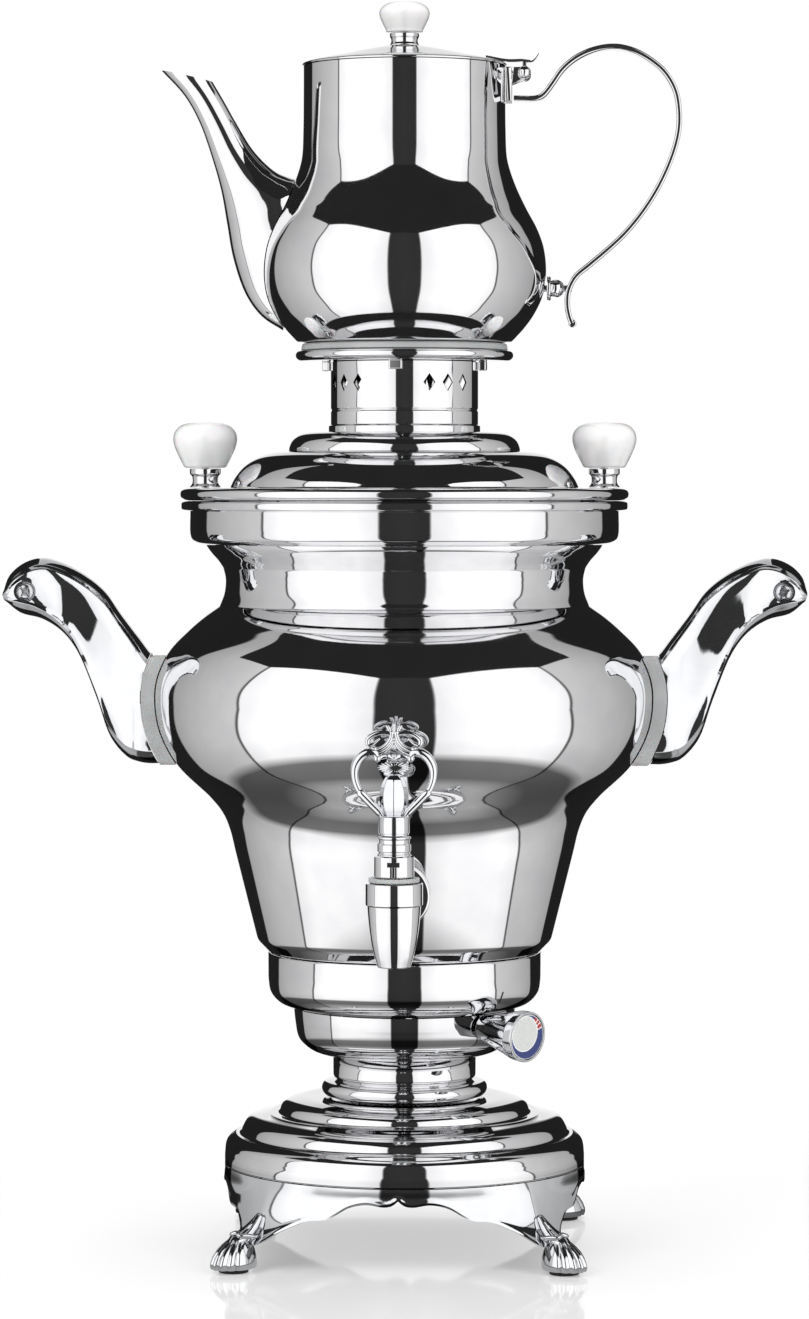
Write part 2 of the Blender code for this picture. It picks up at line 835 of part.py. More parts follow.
def housing_outline():
    top = (housing_top_r, housing_top)
    foot = (housing_foot_r, housing_base)
    return [top] + between(top, foot, housing_shares) + [foot, (tie_rod_r + screw_play, housing_base)]


def make_column():
    housing = turned("thermostat_housing", housing_outline(), chrome, large_steps, axis, sheet=wall)
    spindle_hole = cylinder(
        "spindle_hole", spindle_r + screw_play, -housing_top_r / 2, dial_length, None, dial_axis
    )
    gland_z = housing_base + gland_height
    back = facing(math.radians(180))
    gland_hole = cylinder(
        "gland_hole", gland_neck_r + gap, housing_foot_r, housing_top_r + overrun, None, axis,
        (0, 0, gland_z), back,
    )
    cut(housing, spindle_hole, gland_hole)

    corner = (ring_r, ring_base + ring_corner)
    seat = (ring_seat_r, ring_base)
    outline = [(ring_r, ring_top), corner] + between(corner, seat, ring_shares)
    outline += [seat, (ring_inner_r, ring_base)]
    turned("lower_ring", outline, chrome, large_steps, axis, sheet=wall)

    seat_y = housing_top_r + gap
    inner_y = housing_foot_r + gland_flange
    end_y = housing_top_r + gland_reach
    outline = [
        (gland_neck_r, end_y), (gland_r, seat_y + gland_flange), (gland_r, seat_y),
        (gland_neck_r, seat_y), (gland_neck_r, inner_y), (gland_bore_r, inner_y), (gland_bore_r, end_y),
    ]
    turned("cord_gland", outline, nylon, small_steps, axis, (0, 0, gland_z), back)

    floor = housing_base + wall + gap
    box(
        "terminal_block", terminal_block_size, ceramic, axis,
        (0, terminal_block_offset, floor + terminal_block_size.z / 2),
    )
    cutout_bearing = math.radians(135)
    cutout = (cutout_offset * math.cos(cutout_bearing), cutout_offset * math.sin(cutout_bearing), 0)
    cylinder(
        "thermal_cutout", cutout_r, floor_base - gap - cutout_height, floor_base - gap, ceramic, axis,
        cutout,
    )


def make_dial():
    """About the dial's own axis, outward along +Z from its root."""
    recess_r = dial_face_r - dial_rim
    recess_z = dial_length - dial_face_inset
    outline = [
        (0, recess_z), (recess_r, recess_z), (recess_r, dial_length), (dial_face_r, dial_length),
        (dial_face_r, dial_length - dial_band), (dial_root_r, 0), (spindle_r, 0),
        (spindle_r, -spindle_length), (0, -spindle_length),
    ]
    turned("dial_knob", outline, cast, medium_steps, dial_axis, closed=False)
    face_low = recess_z + gap
    cylinder(
        "dial_face", recess_r - gap, face_low, face_low + dial_face_thickness, dial_print, dial_axis,
        sides=medium_steps,
    )
    front = thermostat_front_r - dial_start_r
    wall_r = crossings(housing_outline(), housing_base + dial_axis_height)[0]
    bush_front = wall_r - wall - dial_start_r - gap * 3
    bore_r = spindle_r + screw_play
    bore_low = -spindle_length - overrun / 2
    outline = [
        (0, bore_low), (bore_r, bore_low), (bore_r, bush_front), (thermostat_bush_r, bush_front),
        (thermostat_bush_r, front), (thermostat_r, front), (thermostat_r, front - thermostat_length),
        (0, front - thermostat_length),
    ]
    turned("thermostat", outline, ceramic, small_steps, dial_axis, closed=False)


def tank_outline():
    """Down the outside of the tank, from its mouth to the flange under it."""
    mouth = (tank_mouth_r, tank_base + tank_mouth_height)
    throat = (tank_throat_r, tank_base + tank_throat_height)
    belly = (tank_belly_r, belly_z)
    waist = (tank_waist_r, tank_base + tank_waist_height)
    return (
        [(tank_mouth_r, tank_top), mouth] + between(mouth, throat, tank_cove_shares) + [throat]
        + between(throat, belly, tank_shoulder_shares) + [belly]
        + between(belly, waist, tank_hip_shares) + [waist]
        + [(tank_foot_r, tank_base + tank_foot_height), (tank_sole_r, tank_base)]
        + [(tank_flange_r, tank_base)]
    )


def tank_stretch(low, high):
    """The tank's outline between two heights, with a point at each, or up to its ends."""
    outline = tank_outline()
    stretch = [(r, z) for r, z in outline if low <= z <= high]
    if high < tank_top:
        stretch.insert(0, (crossings(outline, high)[0], high))
    if low > tank_base:
        stretch.append((crossings(outline, low)[0], low))
    return stretch


def tank_jacket(name, low, high, distance):
    """A solid over a stretch of the tank, its side moved outward by a distance."""
    side = outward(tank_stretch(low, high), distance)
    outline = [(0, side[0][1])] + side + [(0, side[-1][1])]
    return turned(name, outline, None, tank_steps, axis, closed=False)


def make_tank():
    shoulder_seam = tank_base + tank_shoulder_seam_height
    hip_seam = tank_base + tank_hip_seam_height
    throat, belly, waist = [
        turned("tank_" + word, tank_stretch(low, high), chrome, tank_steps, axis, sheet=wall)
        for word, low, high in (
            ("throat", shoulder_seam + gap, tank_top), ("belly", hip_seam + gap, shoulder_seam),
            ("waist", tank_base, hip_seam),
        )
    ]
    barrel_z = tap_bottom + barrel_rise
    front = facing(0)
    barrel_hole = cylinder(
        "barrel_hole", barrel_r + gap, tank_flange_r, tap_reach, None, axis, (0, 0, barrel_z), front
    )
    cut(waist, barrel_hole)
    cut(belly, *stud_holes())

    floor_r = tank_sole_r - wall
    floor = cylinder("tank_floor", floor_r, floor_base, floor_top, plain, axis, sides=tank_steps)
    holes = bmesh.new()
    for place in element_ends():
        prism(holes, element_r + gap, -overrun, overrun * 2, small_steps, Matrix.Translation(place))
    cut(floor, add("element_holes", mesh_of(holes, "element_holes"), None, axis))

    collar_base = collar_top - collar_height
    seat_r = tank_mouth_r + gap
    outline = [
        (seat_r, collar_top), (collar_roll_r - collar_rise, collar_top),
        (collar_roll_r, collar_top - collar_rise),
        (collar_roll_r, collar_top - collar_roll_height + collar_rise),
        (collar_r, collar_top - collar_roll_height), (collar_r, collar_base + collar_round),
        (collar_r - collar_round / 2, collar_base + collar_round / 4), (seat_r + wall, collar_base),
    ]
    turned("tank_collar", outline, chrome, tank_steps, axis, sheet=wall)


def element_ends():
    """Where the element's legs pass the tank floor."""
    turn = element_gap_angle / 2
    return [
        (side * element_circle_r * math.sin(turn), element_circle_r * math.cos(turn), floor_base)
        for side in (1, -1)
    ]


def make_element():
    ring_z = floor_top + element_lift
    right, left = element_ends()
    start = math.atan2(right[1], right[0])
    sweep = 2 * math.pi - element_gap_angle
    ring = []
    for i in range(element_turn_points + 1):
        angle = start - sweep * i / element_turn_points
        ring.append((element_circle_r * math.cos(angle), element_circle_r * math.sin(angle), ring_z))
    foot_z = floor_base - element_drop
    leg_z = ring_z - element_bend
    points = [(right[0], right[1], foot_z), (right[0], right[1], leg_z)] + ring[1:-1]
    points += [(left[0], left[1], leg_z), (left[0], left[1], foot_z)]
    wire("heating_element", points, element_r, plain, axis)


def stud_holes():
    """The holes for the handles' studs, through the tank's wall, the pads and into the handles."""
    return [
        cylinder(
            "stud_hole", stud_r + screw_play, tank_belly_r - overrun * 2,
            tank_belly_r + handle_pad_thickness + stud_depth, None, axis, (0, 0, belly_z),
            facing(side * math.radians(90)),
        )
        for side in (1, -1)
    ]


def make_side_handles():
    low = belly_z - handle_pad_below
    high = belly_z + handle_pad_above
    seat = tank_jacket(
        "handle_seat", low - overrun * 2, high + overrun * 2, handle_pad_thickness + gap * 2
    )
    right_hole, left_hole = stud_holes()
    rise = handle_boss_height - tank_belly_height
    boss_z = belly_z + rise
    head_seat = handle_depth / 2 - handle_counterbore_depth
    pad_inside = tank_jacket("pad_inside", low - overrun, high + overrun, gap)
    pad_outside = tank_jacket("pad_outside", low - overrun, high + overrun, handle_pad_thickness + gap)
    for side, word, hole in ((-1, "left", left_hole), (1, "right", right_hole)):
        outline = [
            (side * out * handle_boss_x, belly_z + up * rise)
            for out, up in handle_top_shares + handle_low_shares
        ]
        whole = plate("handle_blank_" + word, outline, handle_depth, None, axis)
        round_edges(whole, handle_bevel)
        boss_at = (side * handle_boss_x, 0, boss_z)
        counterbore = cylinder(
            "counterbore_" + word, end_screw_head_r + screw_play, head_seat,
            handle_depth / 2 + overrun, None, axis, boss_at, facing(0),
        )
        bolt_hole = cylinder(
            "bolt_hole_" + word, end_screw_r + screw_play,
            head_seat - end_screw_length - screw_play, head_seat + overrun, None, axis, boss_at,
            facing(0),
        )
        mesh = baked(cut(whole, seat, hole, counterbore, bolt_hole), "handle_" + word)
        mesh.shade_smooth()
        mesh.set_sharp_from_angle(angle=math.radians(40))
        for place, sign in (("front", -1), ("rear", 1)):
            half = add(f"handle_{word}_{place}", mesh.copy(), cast, axis)
            room = box(
                f"half_room_{word}_{place}", (handle_boss_x * 2, handle_depth, handle_boss_height),
                None, axis,
                (side * handle_boss_x, sign * (handle_depth + handle_split) / 2, boss_z - rise / 2),
            )
            keep(half, room)
        bolt(
            "handle_end_screw_" + word, end_screw_head_r, end_screw_head_height, end_screw_r,
            end_screw_length, plain, axis, (side * handle_boss_x, -head_seat - gap, boss_z),
            facing(math.radians(180)),
        )
        start = tank_belly_r - wall - stud_seat
        bolt(
            "handle_stud_" + word, stud_head_r, stud_head_height, stud_r,
            tank_belly_r + handle_pad_thickness + stud_depth - screw_play - start, plain, axis,
            (side * start, 0, belly_z), facing(side * math.radians(90)),
        )
        pad = box(
            "handle_pad_" + word,
            (handle_pad_breadth, handle_depth, handle_pad_below + handle_pad_above), silicone,
            axis, (side * tank_belly_r, 0, (low + high) / 2),
        )
        keep(pad, pad_outside)
        cut(pad, pad_inside, hole)


def make_tap():
    """Turned pieces stand on the tap's own axis. The barrel runs back through the tank's wall."""
    barrel_z = tap_bottom + barrel_rise
    seat_z = tap_bottom + tap_seat
    back = facing(math.radians(180))
    outline = [
        (tap_body_r, tap_top), (tap_body_r, tap_bottom + tap_shoulder),
        (tap_tip_r, tap_bottom), (tap_outlet_r, tap_bottom), (tap_outlet_r, seat_z - overrun),
        (tap_bore_r, seat_z), (tap_bore_r, tap_top),
    ]
    body = turned("tap_body", outline, chrome, medium_steps, tap_axis)
    barrel_end = tap_reach - tank_waist_r + barrel_inside
    barrel = cylinder(
        "barrel_blank", barrel_r, tap_bore_r + overrun, barrel_end, None, tap_axis,
        (0, 0, barrel_z), back, sides=medium_steps,
    )
    flange_y = tap_reach - tank_waist_r - tap_gasket_thickness
    flange = cylinder(
        "flange_blank", tap_flange_r, flange_y - tap_flange_thickness, flange_y, None, tap_axis,
        (0, 0, barrel_z), back, sides=medium_steps,
    )
    bore = cylinder(
        "barrel_bore", barrel_bore_r, 0, barrel_end + overrun, None, tap_axis, (0, 0, barrel_z), back
    )
    cut(join(body, barrel, flange), bore)

    gasket = tube(
        "tap_gasket", tap_flange_r - gap, barrel_r + gap, flange_y + gap, barrel_end, silicone,
        tap_axis, (0, 0, barrel_z), back, steps=medium_steps,
    )
    low = barrel_z - tap_flange_r - overrun
    high = barrel_z + tap_flange_r + overrun
    cut(gasket, tank_jacket("gasket_seat", low, high, gap))
    nut_end = tap_reach - crossings(tank_outline(), barrel_z)[0] + lock_nut_reach
    nut = tube(
        "tap_lock_nut", lock_nut_r, barrel_r + gap, flange_y, nut_end, plain, tap_axis,
        (0, 0, barrel_z), back, steps=medium_steps,
    )
    keep(nut, tank_jacket("lock_nut_seat", low, high, -(wall + gap)))
    tube(
        "tap_washer", tap_washer_r, tap_bore_r + gap, washer_base, washer_base + tap_washer_thickness,
        silicone, tap_axis, steps=medium_steps,
    )
    stem_bore = stem_r + gap
    spigot_r = tap_bore_r - gap
    spigot_base = tap_top - bonnet_spigot
    outline = [
        (bonnet_r, bonnet_top), (bonnet_r, bonnet_base), (spigot_r, bonnet_base),
        (spigot_r, spigot_base), (stem_bore, spigot_base), (stem_bore, bonnet_top),
    ]
    bonnet = turned("tap_bonnet", outline, chrome, medium_steps, tap_axis)
    notch = box(
        "bonnet_notch", (bonnet_notch, bonnet_notch, bonnet_height), None, tap_axis,
        (0, -bonnet_r, bonnet_base + bonnet_height / 3),
    )
    cut(bonnet, notch)
    groove_r = packing_nut_r - packing_groove
    outline = (
        [(packing_nut_r, packing_top), (packing_nut_r, packing_base + packing_groove_high)]
        + [(groove_r, packing_base + packing_groove_high), (groove_r, packing_base + packing_groove_low)]
        + [(packing_nut_r, packing_base + packing_groove_low), (packing_nut_r, packing_base)]
        + [(stem_bore, packing_base), (stem_bore, packing_top)]
    )
    turned("tap_packing_nut", outline, chrome, medium_steps, tap_axis)

    plug_r = tap_bore_r - gap
    plug_base = seat_z + gap
    plug_top = spigot_base - gap
    stem_top = hub_top - key_roof - gap
    outline = [
        (0, stem_top), (stem_r, stem_top), (stem_r, plug_top), (plug_r, plug_top),
        (plug_r, plug_base), (plug_port_r, plug_base), (plug_port_r, barrel_z), (0, barrel_z),
    ]
    plug = turned("tap_plug", outline, plain, medium_steps, tap_axis, closed=False)
    port = cylinder(
        "plug_port", plug_port_r - gap, 0, tap_body_r, None, tap_axis,
        (0, 0, barrel_z - plug_port_r / 2), facing(math.radians(90)),
    )
    cut(plug, port)
    make_key()


def key_points(shares, side):
    return [(side * out * key_half_width, hub_top + up * key_height) for out, up in shares]


def make_key():
    """An openwork key over a plain hub, flat to the front."""
    outline = [
        (0, hub_top), (key_hub_r, hub_top), (key_hub_r, hub_base), (stem_r + gap, hub_base),
        (stem_r + gap, hub_top - key_roof), (0, hub_top - key_roof),
    ]
    key = turned("tap_key", outline, cast, small_steps * 2, tap_axis, closed=False)
    edge = key_points(key_edge_shares, 1) + key_points(key_edge_shares[1:-1], -1)[::-1]
    arch = key_points(key_arch_shares, 1) + key_points(key_arch_shares[1:-1], -1)[::-1]
    holes = [arch]
    for side in (1, -1):
        holes += [key_points(key_loop_shares, side), key_points(key_bow_shares, side)]
    openwork = plate("key_openwork", edge, key_thickness, None, tap_axis, holes=holes)
    bud_outline = [
        (share * key_bud_r, hub_top + up * key_height) for share, up in key_bud_shares
    ]
    bud_outline = [(0, bud_outline[0][1])] + bud_outline + [(0, bud_outline[-1][1])]
    bud = turned("key_bud", bud_outline, None, 6, tap_axis, closed=False)
    join(key, bud, openwork)


def make_lid():
    rim = (lid_dome_r, lid_rim_top)
    top = (lid_top_r, lid_top)
    roll = arc((lid_rim_r - lid_roll / 2, lid_base + lid_roll / 2), lid_roll / 2, 90, -90, 4)
    outline = [(lid_hole_r, lid_top), top] + between(top, rim, lid_dome_shares) + [rim]
    outline += roll + [(lid_rim_inner_r, lid_base)]
    lid = turned("lid_pressing", outline, chrome, large_steps, tank_lid_frame, sheet=wall)
    holes = bmesh.new()
    for side in (1, -1):
        prism(
            holes, knob_screw_r + screw_play, -lid_roll / 2, overrun, small_steps,
            Matrix.Translation((side * lid_knob_circle_r, 0, lid_rim_top)),
        )
    cut(lid, add("lid_knob_holes", mesh_of(holes, "lid_knob_holes"), None, tank_lid_frame))
    under = lid_rim_top - wall / 2
    outline = [
        (locating_ring_r - locating_flange, under), (locating_ring_r, under),
        (locating_ring_r, under - locating_ring_depth),
    ]
    ring = turned("lid_locating_ring", outline, None, large_steps, tank_lid_frame, sheet=wall)
    join(lid, ring)

    foot = (step_dome_r, lid_top + gap)
    crest = (step_dome_top_r, lid_top + step_dome_height)
    outline = [(crown_ring_r + gap, crest[1]), crest] + between(crest, foot, step_dome_shares) + [foot]
    turned("lid_step_dome", outline, chrome, large_steps, tank_lid_frame, sheet=wall)
    make_crown()
    make_lid_knobs()


def make_crown():
    bore = crown_neck_r - wall
    ring_high = lid_top + step_dome_height + crown_ring_height / 2
    ring_low = ring_high - crown_ring_height
    groove_z = crown_base + crown_groove_height
    outline = [
        (crown_neck_r, crown_top), (crown_neck_r, groove_z + crown_groove),
        (crown_neck_r - crown_groove / 2, groove_z), (crown_neck_r, groove_z - crown_groove),
        (crown_neck_r, ring_high), (crown_ring_r, ring_high - crown_groove),
        (crown_ring_r, ring_low), (crown_neck_r, ring_low - crown_groove),
        (crown_neck_r, crown_base + wall), (crown_flange_r, crown_base + wall),
        (crown_flange_r, crown_base), (bore, crown_base), (bore, crown_top),
    ]
    neck = turned("crown_neck", outline, chrome, crown_steps, tank_lid_frame)
    vents = bmesh.new()
    for group in range(vent_groups):
        for place in range(vents_in_group):
            bearing = vent_middle + 2 * math.pi * group / vent_groups
            bearing += (place - (vents_in_group - 1) / 2) * vent_spacing
            at = moved_to(0, 0, crown_base + vent_rise, facing(bearing))
            stretch = Matrix.Diagonal((vent_width / 2, vent_height / 2, 1, 1))
            low = bore - overrun * 2
            prism(vents, 1, low, crown_neck_r + overrun, 4, at @ stretch)
    cut(neck, add("crown_vents", mesh_of(vents, "crown_vents"), None, tank_lid_frame))

    spigot_r = bore - gap
    edge = crown_plate_edge
    outline = [
        (crown_plate_hole_r, plate_top), (crown_plate_r - edge, plate_top),
        (crown_plate_r, plate_top - edge), (crown_plate_r, plate_base + edge),
        (crown_plate_r - edge, plate_base), (spigot_r, plate_base),
        (spigot_r, plate_base - crown_spigot_depth),
        (crown_plate_hole_r, plate_base - crown_spigot_depth),
    ]
    crown_plate = turned("crown_plate", outline, chrome, crown_steps, tank_lid_frame)
    lugs = []
    for i in range(4):
        turn = math.radians(90 * i)
        out = crown_neck_r + gap + lug_reach / 2
        lugs.append(box(
            f"crown_lug_{i}", (lug_reach, lug_breadth, lug_height + edge), None, tank_lid_frame,
            (out * math.cos(turn), out * math.sin(turn), plate_base - (lug_height - edge) / 2),
            (0, 0, turn),
        ))
    join(crown_plate, *lugs)
    tube(
        "crown_silicone_ring", crown_pad_r, crown_pad_bore_r, crown_pad_base, crown_pad_top, silicone,
        tank_lid_frame, steps=large_steps,
    )


def knob_outline(height, widest, greatest_r, foot_r, top_r, bore_r, bore_depth):
    """A porcelain knob with a blind hole in its foot."""
    top = (top_r, height)
    middle = (greatest_r, widest)
    foot = (foot_r, 0)
    return (
        [(0, height), top] + between(top, middle, porcelain_top_shares) + [middle]
        + between(middle, foot, porcelain_foot_shares)
        + [foot, (bore_r, 0), (bore_r, bore_depth), (0, bore_depth)]
    )


def knob_stem_outline(foot_r, stem_foot_r, cup_r, height):
    """A ferrule with its thread up into the knob, and a riveted end down through the lid."""
    rivet_low = -(wall + gap * 2)
    cup = (cup_r, height)
    foot = (foot_r, 0)
    return (
        [(0, height + gap + knob_screw_grip), (knob_screw_r, height + gap + knob_screw_grip)]
        + [(knob_screw_r, height), cup]
        + [(stem_foot_r + (cup_r - stem_foot_r) * out, height * up) for out, up in ferrule_shares]
        + [foot, (knob_screw_r, 0), (knob_screw_r, rivet_low), (knob_screw_head_r, rivet_low)]
        + [(knob_screw_head_r, rivet_low - knob_screw_head_height)]
        + [(0, rivet_low - knob_screw_head_height)]
    )


def make_lid_knobs():
    stem_base = lid_rim_top + gap
    knob_base = stem_base + lid_ferrule_height + gap
    bore_r = knob_screw_r + screw_play
    for side, word in ((-1, "left"), (1, "right")):
        x = side * lid_knob_circle_r
        outline = knob_stem_outline(
            lid_ferrule_r, lid_ferrule_stem_r, lid_ferrule_r, lid_ferrule_height
        )
        turned(
            "lid_knob_stem_" + word, outline, chrome, small_steps, tank_lid_frame,
            (x, 0, stem_base), closed=False,
        )
        outline = knob_outline(
            lid_knob_height, lid_knob_widest, lid_knob_r, lid_knob_foot_r, lid_knob_top_r, bore_r,
            knob_screw_grip + screw_play,
        )
        turned(
            "lid_knob_" + word, outline, porcelain, knob_steps, tank_lid_frame, (x, 0, knob_base),
            closed=False,
        )


def pot_outline():
    mouth = (pot_mouth_r, pot_top)
    waist = (pot_waist_r, pot_base + pot_waist_height)
    belly = (pot_belly_r, pot_base + pot_belly_height)
    foot = (pot_foot_r, pot_base + pot_sole_height)
    return (
        [mouth, waist] + between(waist, belly, pot_shoulder_shares) + [belly]
        + between(belly, foot, pot_hip_shares) + [foot, (pot_sole_r, pot_base), (0, pot_base)]
    )


def make_pot():
    pot = turned("pot_body", pot_outline(), chrome, pot_steps, pot_frame, sheet=wall)
    holes = bmesh.new()
    left = facing(math.radians(-90))
    for row in (-1, 0, 1):
        for place in (-1, 0, 1):
            at = moved_to(
                0, place * strainer_pitch, pot_base + strainer_height + row * strainer_pitch, left
            )
            prism(holes, strainer_hole_r, pot_mouth_r, pot_belly_r + overrun, 8, at)
    rivet_z = pot_base + spacer_height
    rivet_hole = cylinder(
        "lower_rivet_hole", rivet_r + screw_play, pot_foot_r, strap_reach, None, pot_frame,
        (0, 0, rivet_z), facing(math.radians(90)),
    )
    cut(pot, add("strainer_holes", mesh_of(holes, "strainer_holes"), None, pot_frame), rivet_hole)

    rings = []
    for heel_out, heel_up, throat_out, throat_up, breadth in spout_shares:
        heel = Vector((-heel_out * spout_reach, 0, pot_base + heel_up * pot_height))
        throat = Vector((-throat_out * spout_reach, 0, pot_base + throat_up * pot_height))
        middle, half = (heel + throat) / 2, (throat - heel) / 2
        side = Vector((0, breadth * spout_breadth, 0))
        turns = [2 * math.pi * i / spout_segments for i in range(spout_segments)]
        rings.append([middle + half * math.cos(t) + side * math.sin(t) for t in turns])
    bm = bmesh.new()
    rows = [[bm.verts.new(point) for point in ring] for ring in rings]
    for upper, lower in zip(rows, rows[1:]):
        for i in range(spout_segments):
            j = (i + 1) % spout_segments
            bm.faces.new((upper[i], lower[i], lower[j], upper[j]))
    spout = thicken(add("pot_spout", mesh_of(bm, "pot_spout"), chrome, pot_frame), wall)
    pot_jacket = turned(
        "pot_jacket", [(0, pot_top)] + outward(pot_outline(), gap), None, pot_steps, pot_frame,
        closed=False,
    )
    cut(spout, pot_jacket)
    make_pot_handle(rivet_hole)
    make_hinge(pot_jacket)
    make_pot_lid()


def make_pot_handle(rivet_hole):
    middle = [
        (start + out * (strap_reach - start), pot_top - down * strap_drop)
        for start, shares in ((strap_root_r, strap_rise_shares), (strap_heel_r, strap_fall_shares))
        for out, down in shares
    ]
    strap = plate("pot_handle", strip_outline(middle, strap_thickness), strap_breadth, chrome, pot_frame)
    cut(strap, rivet_hole)
    rivet_z = pot_base + spacer_height
    strap_x = crossings(outward(middle, -strap_thickness / 2), rivet_z)[-1]
    disc = pot_belly_r + gap
    ball = strap_x - gap - overrun / 2 - spacer_ball_r
    neck = spacer_ball_r / 2
    disc_top = disc + spacer_disc_thickness
    ball_arc = [
        point for point in arc((0, ball), spacer_ball_r, 80, -80, 8)
        if point[0] > neck and point[1] > disc_top
    ]
    inside = crossings(pot_outline(), rivet_z)[0] - wall - overrun
    outline = (
        [(0, strap_x + strap_thickness), (rivet_r, strap_x + strap_thickness)]
        + [(rivet_r, ball + spacer_ball_r)] + ball_arc
        + [(neck, disc_top), (spacer_disc_r, disc_top)]
        + [(spacer_disc_r, disc), (rivet_r, disc), (rivet_r, inside), (rivet_head_r, inside)]
        + [(rivet_head_r, inside - rivet_head_height), (0, inside - rivet_head_height)]
    )
    turned(
        "pot_handle_spacer", outline, chrome, small_steps, pot_frame, (0, 0, rivet_z),
        facing(math.radians(90)), closed=False,
    )


def make_hinge(pot_jacket):
    """The bracket stands on the pot's wall. The lid's pieces turn about the pin."""
    plate_top_z = pot_top - gap
    bracket = box(
        "hinge_bracket", (bracket_thickness, bracket_breadth, bracket_height), chrome, pot_frame,
        (pot_mouth_r + bracket_thickness / 2, 0, plate_top_z - bracket_height / 2),
    )
    ear_root = pot_mouth_r + bracket_thickness / 2
    ear_low = hinge_z - hinge_barrel_r * 2
    ears = []
    for side in (1, -1):
        outline = [(ear_root, plate_top_z - gap), (hinge_out, hinge_z + hinge_barrel_r)]
        outline += arc((hinge_out, hinge_z), hinge_barrel_r, 60, -90, 5) + [(ear_root, ear_low)]
        ears.append(plate(
            f"hinge_ear_{side}", outline, hinge_ear, None, pot_frame,
            (0, side * (hinge_leaf_half + gap + hinge_ear / 2), 0),
        ))
    pin_room = cylinder(
        "hinge_pin_room", hinge_pin_r + gap, -bracket_breadth, bracket_breadth, None, pot_frame,
        (hinge_out, 0, hinge_z), facing(0),
    )
    join(bracket, *ears)
    cut(bracket, pin_room, pot_jacket)
    pin_half = hinge_leaf_half + gap + hinge_ear + gap
    outline = (
        [(0, pin_half + hinge_ball_r * 2)]
        + arc((0, pin_half + hinge_ball_r), hinge_ball_r, 60, -60, 4)
        + [(hinge_pin_r, pin_half), (hinge_pin_r, -pin_half)]
        + arc((0, -pin_half - hinge_ball_r), hinge_ball_r, 60, -60, 4)
        + [(0, -pin_half - hinge_ball_r * 2)]
    )
    turned(
        "hinge_pin", outline, chrome, small_steps, pot_frame, (hinge_out, 0, hinge_z), facing(0),
        closed=False,
    )


def lid_surface_z(radius):
    """The pot lid's upper side at a distance from its axis."""
    rim_z = pot_lid_base + pot_lid_rim
    share = (pot_lid_r - radius) / (pot_lid_r - pot_ferrule_r)
    return rim_z + share * (pot_lid_top - rim_z)


def make_pot_lid():
    bore_r = knob_screw_r + screw_play
    flange_r = pot_mouth_r - wall - pot_lid_clearance
    flange_in = flange_r - wall
    outline = [
        (bore_r, pot_lid_top), (pot_ferrule_r, pot_lid_top), (pot_lid_r, pot_lid_base + pot_lid_rim),
        (pot_lid_r, pot_lid_base), (flange_r, pot_lid_base),
        (flange_r, pot_lid_base - pot_lid_flange_depth),
        (flange_in, pot_lid_base - pot_lid_flange_depth), (flange_in, pot_lid_base + pot_lid_rim / 2),
        (pot_ferrule_r, pot_lid_top - wall), (bore_r, pot_lid_top - wall),
    ]
    turned("pot_lid", outline, chrome, large_steps, pot_hinge, from_hinge)

    stem_base = pot_lid_top + gap
    knob_base = stem_base + pot_ferrule_height + gap
    outline = knob_stem_outline(
        pot_ferrule_r, pot_ferrule_stem_r, pot_ferrule_r, pot_ferrule_height
    )
    at = (-hinge_out, 0, stem_base - hinge_z)
    turned(
        "pot_lid_knob_stem", outline, chrome, small_steps, pot_hinge, at, closed=False
    )
    outline = knob_outline(
        pot_knob_height, pot_knob_widest, pot_knob_r, pot_knob_foot_r, pot_knob_top_r, bore_r,
        knob_screw_grip + screw_play,
    )
    at = (-hinge_out, 0, knob_base - hinge_z)
    turned("pot_lid_knob", outline, porcelain, knob_steps, pot_hinge, at, closed=False)

    near_x = pot_lid_r - leaf_overlap
    rim_x = pot_lid_r + gap
    near_z = lid_surface_z(near_x) + leaf_rise
    rim_z = lid_surface_z(pot_lid_r) + leaf_rise
    low_bend, low_front, low_back, high_back, high_bend = [
        (hinge_out + out * hinge_barrel_r, hinge_z + up * hinge_barrel_r) for out, up in leaf_bend_shares
    ]
    tip = (hinge_out + lever_reach, hinge_z + lever_rise)
    outline = [(near_x, near_z), (rim_x, rim_z), (low_bend[0], rim_z), low_front, low_back]
    outline += [(tip[0] + lever_thickness / 2, tip[1] - lever_thickness), tip, high_back]
    outline += [(high_bend[0], rim_z + leaf_thickness), (rim_x, rim_z + leaf_thickness)]
    outline += [(near_x, near_z + leaf_thickness)]
    leaf = plate("lid_hinge_leaf", outline, hinge_leaf_half * 2, chrome, pot_hinge, from_hinge)
    barrel = cylinder(
        "leaf_barrel", hinge_barrel_r, -hinge_leaf_half, hinge_leaf_half, None, pot_hinge, (0, 0, 0),
        facing(0),
    )
    bore = cylinder(
        "leaf_bore", hinge_pin_r + gap, -bracket_breadth, bracket_breadth, None, pot_hinge, (0, 0, 0),
        facing(0),
    )
    cut(join(leaf, barrel), bore)


make_feet()
make_base()
make_column()
make_dial()
make_tank()
make_element()
make_side_handles()
make_tap()
make_lid()
make_pot()
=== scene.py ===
import json
import math

import bmesh
import bpy
from mathutils import Matrix, Vector


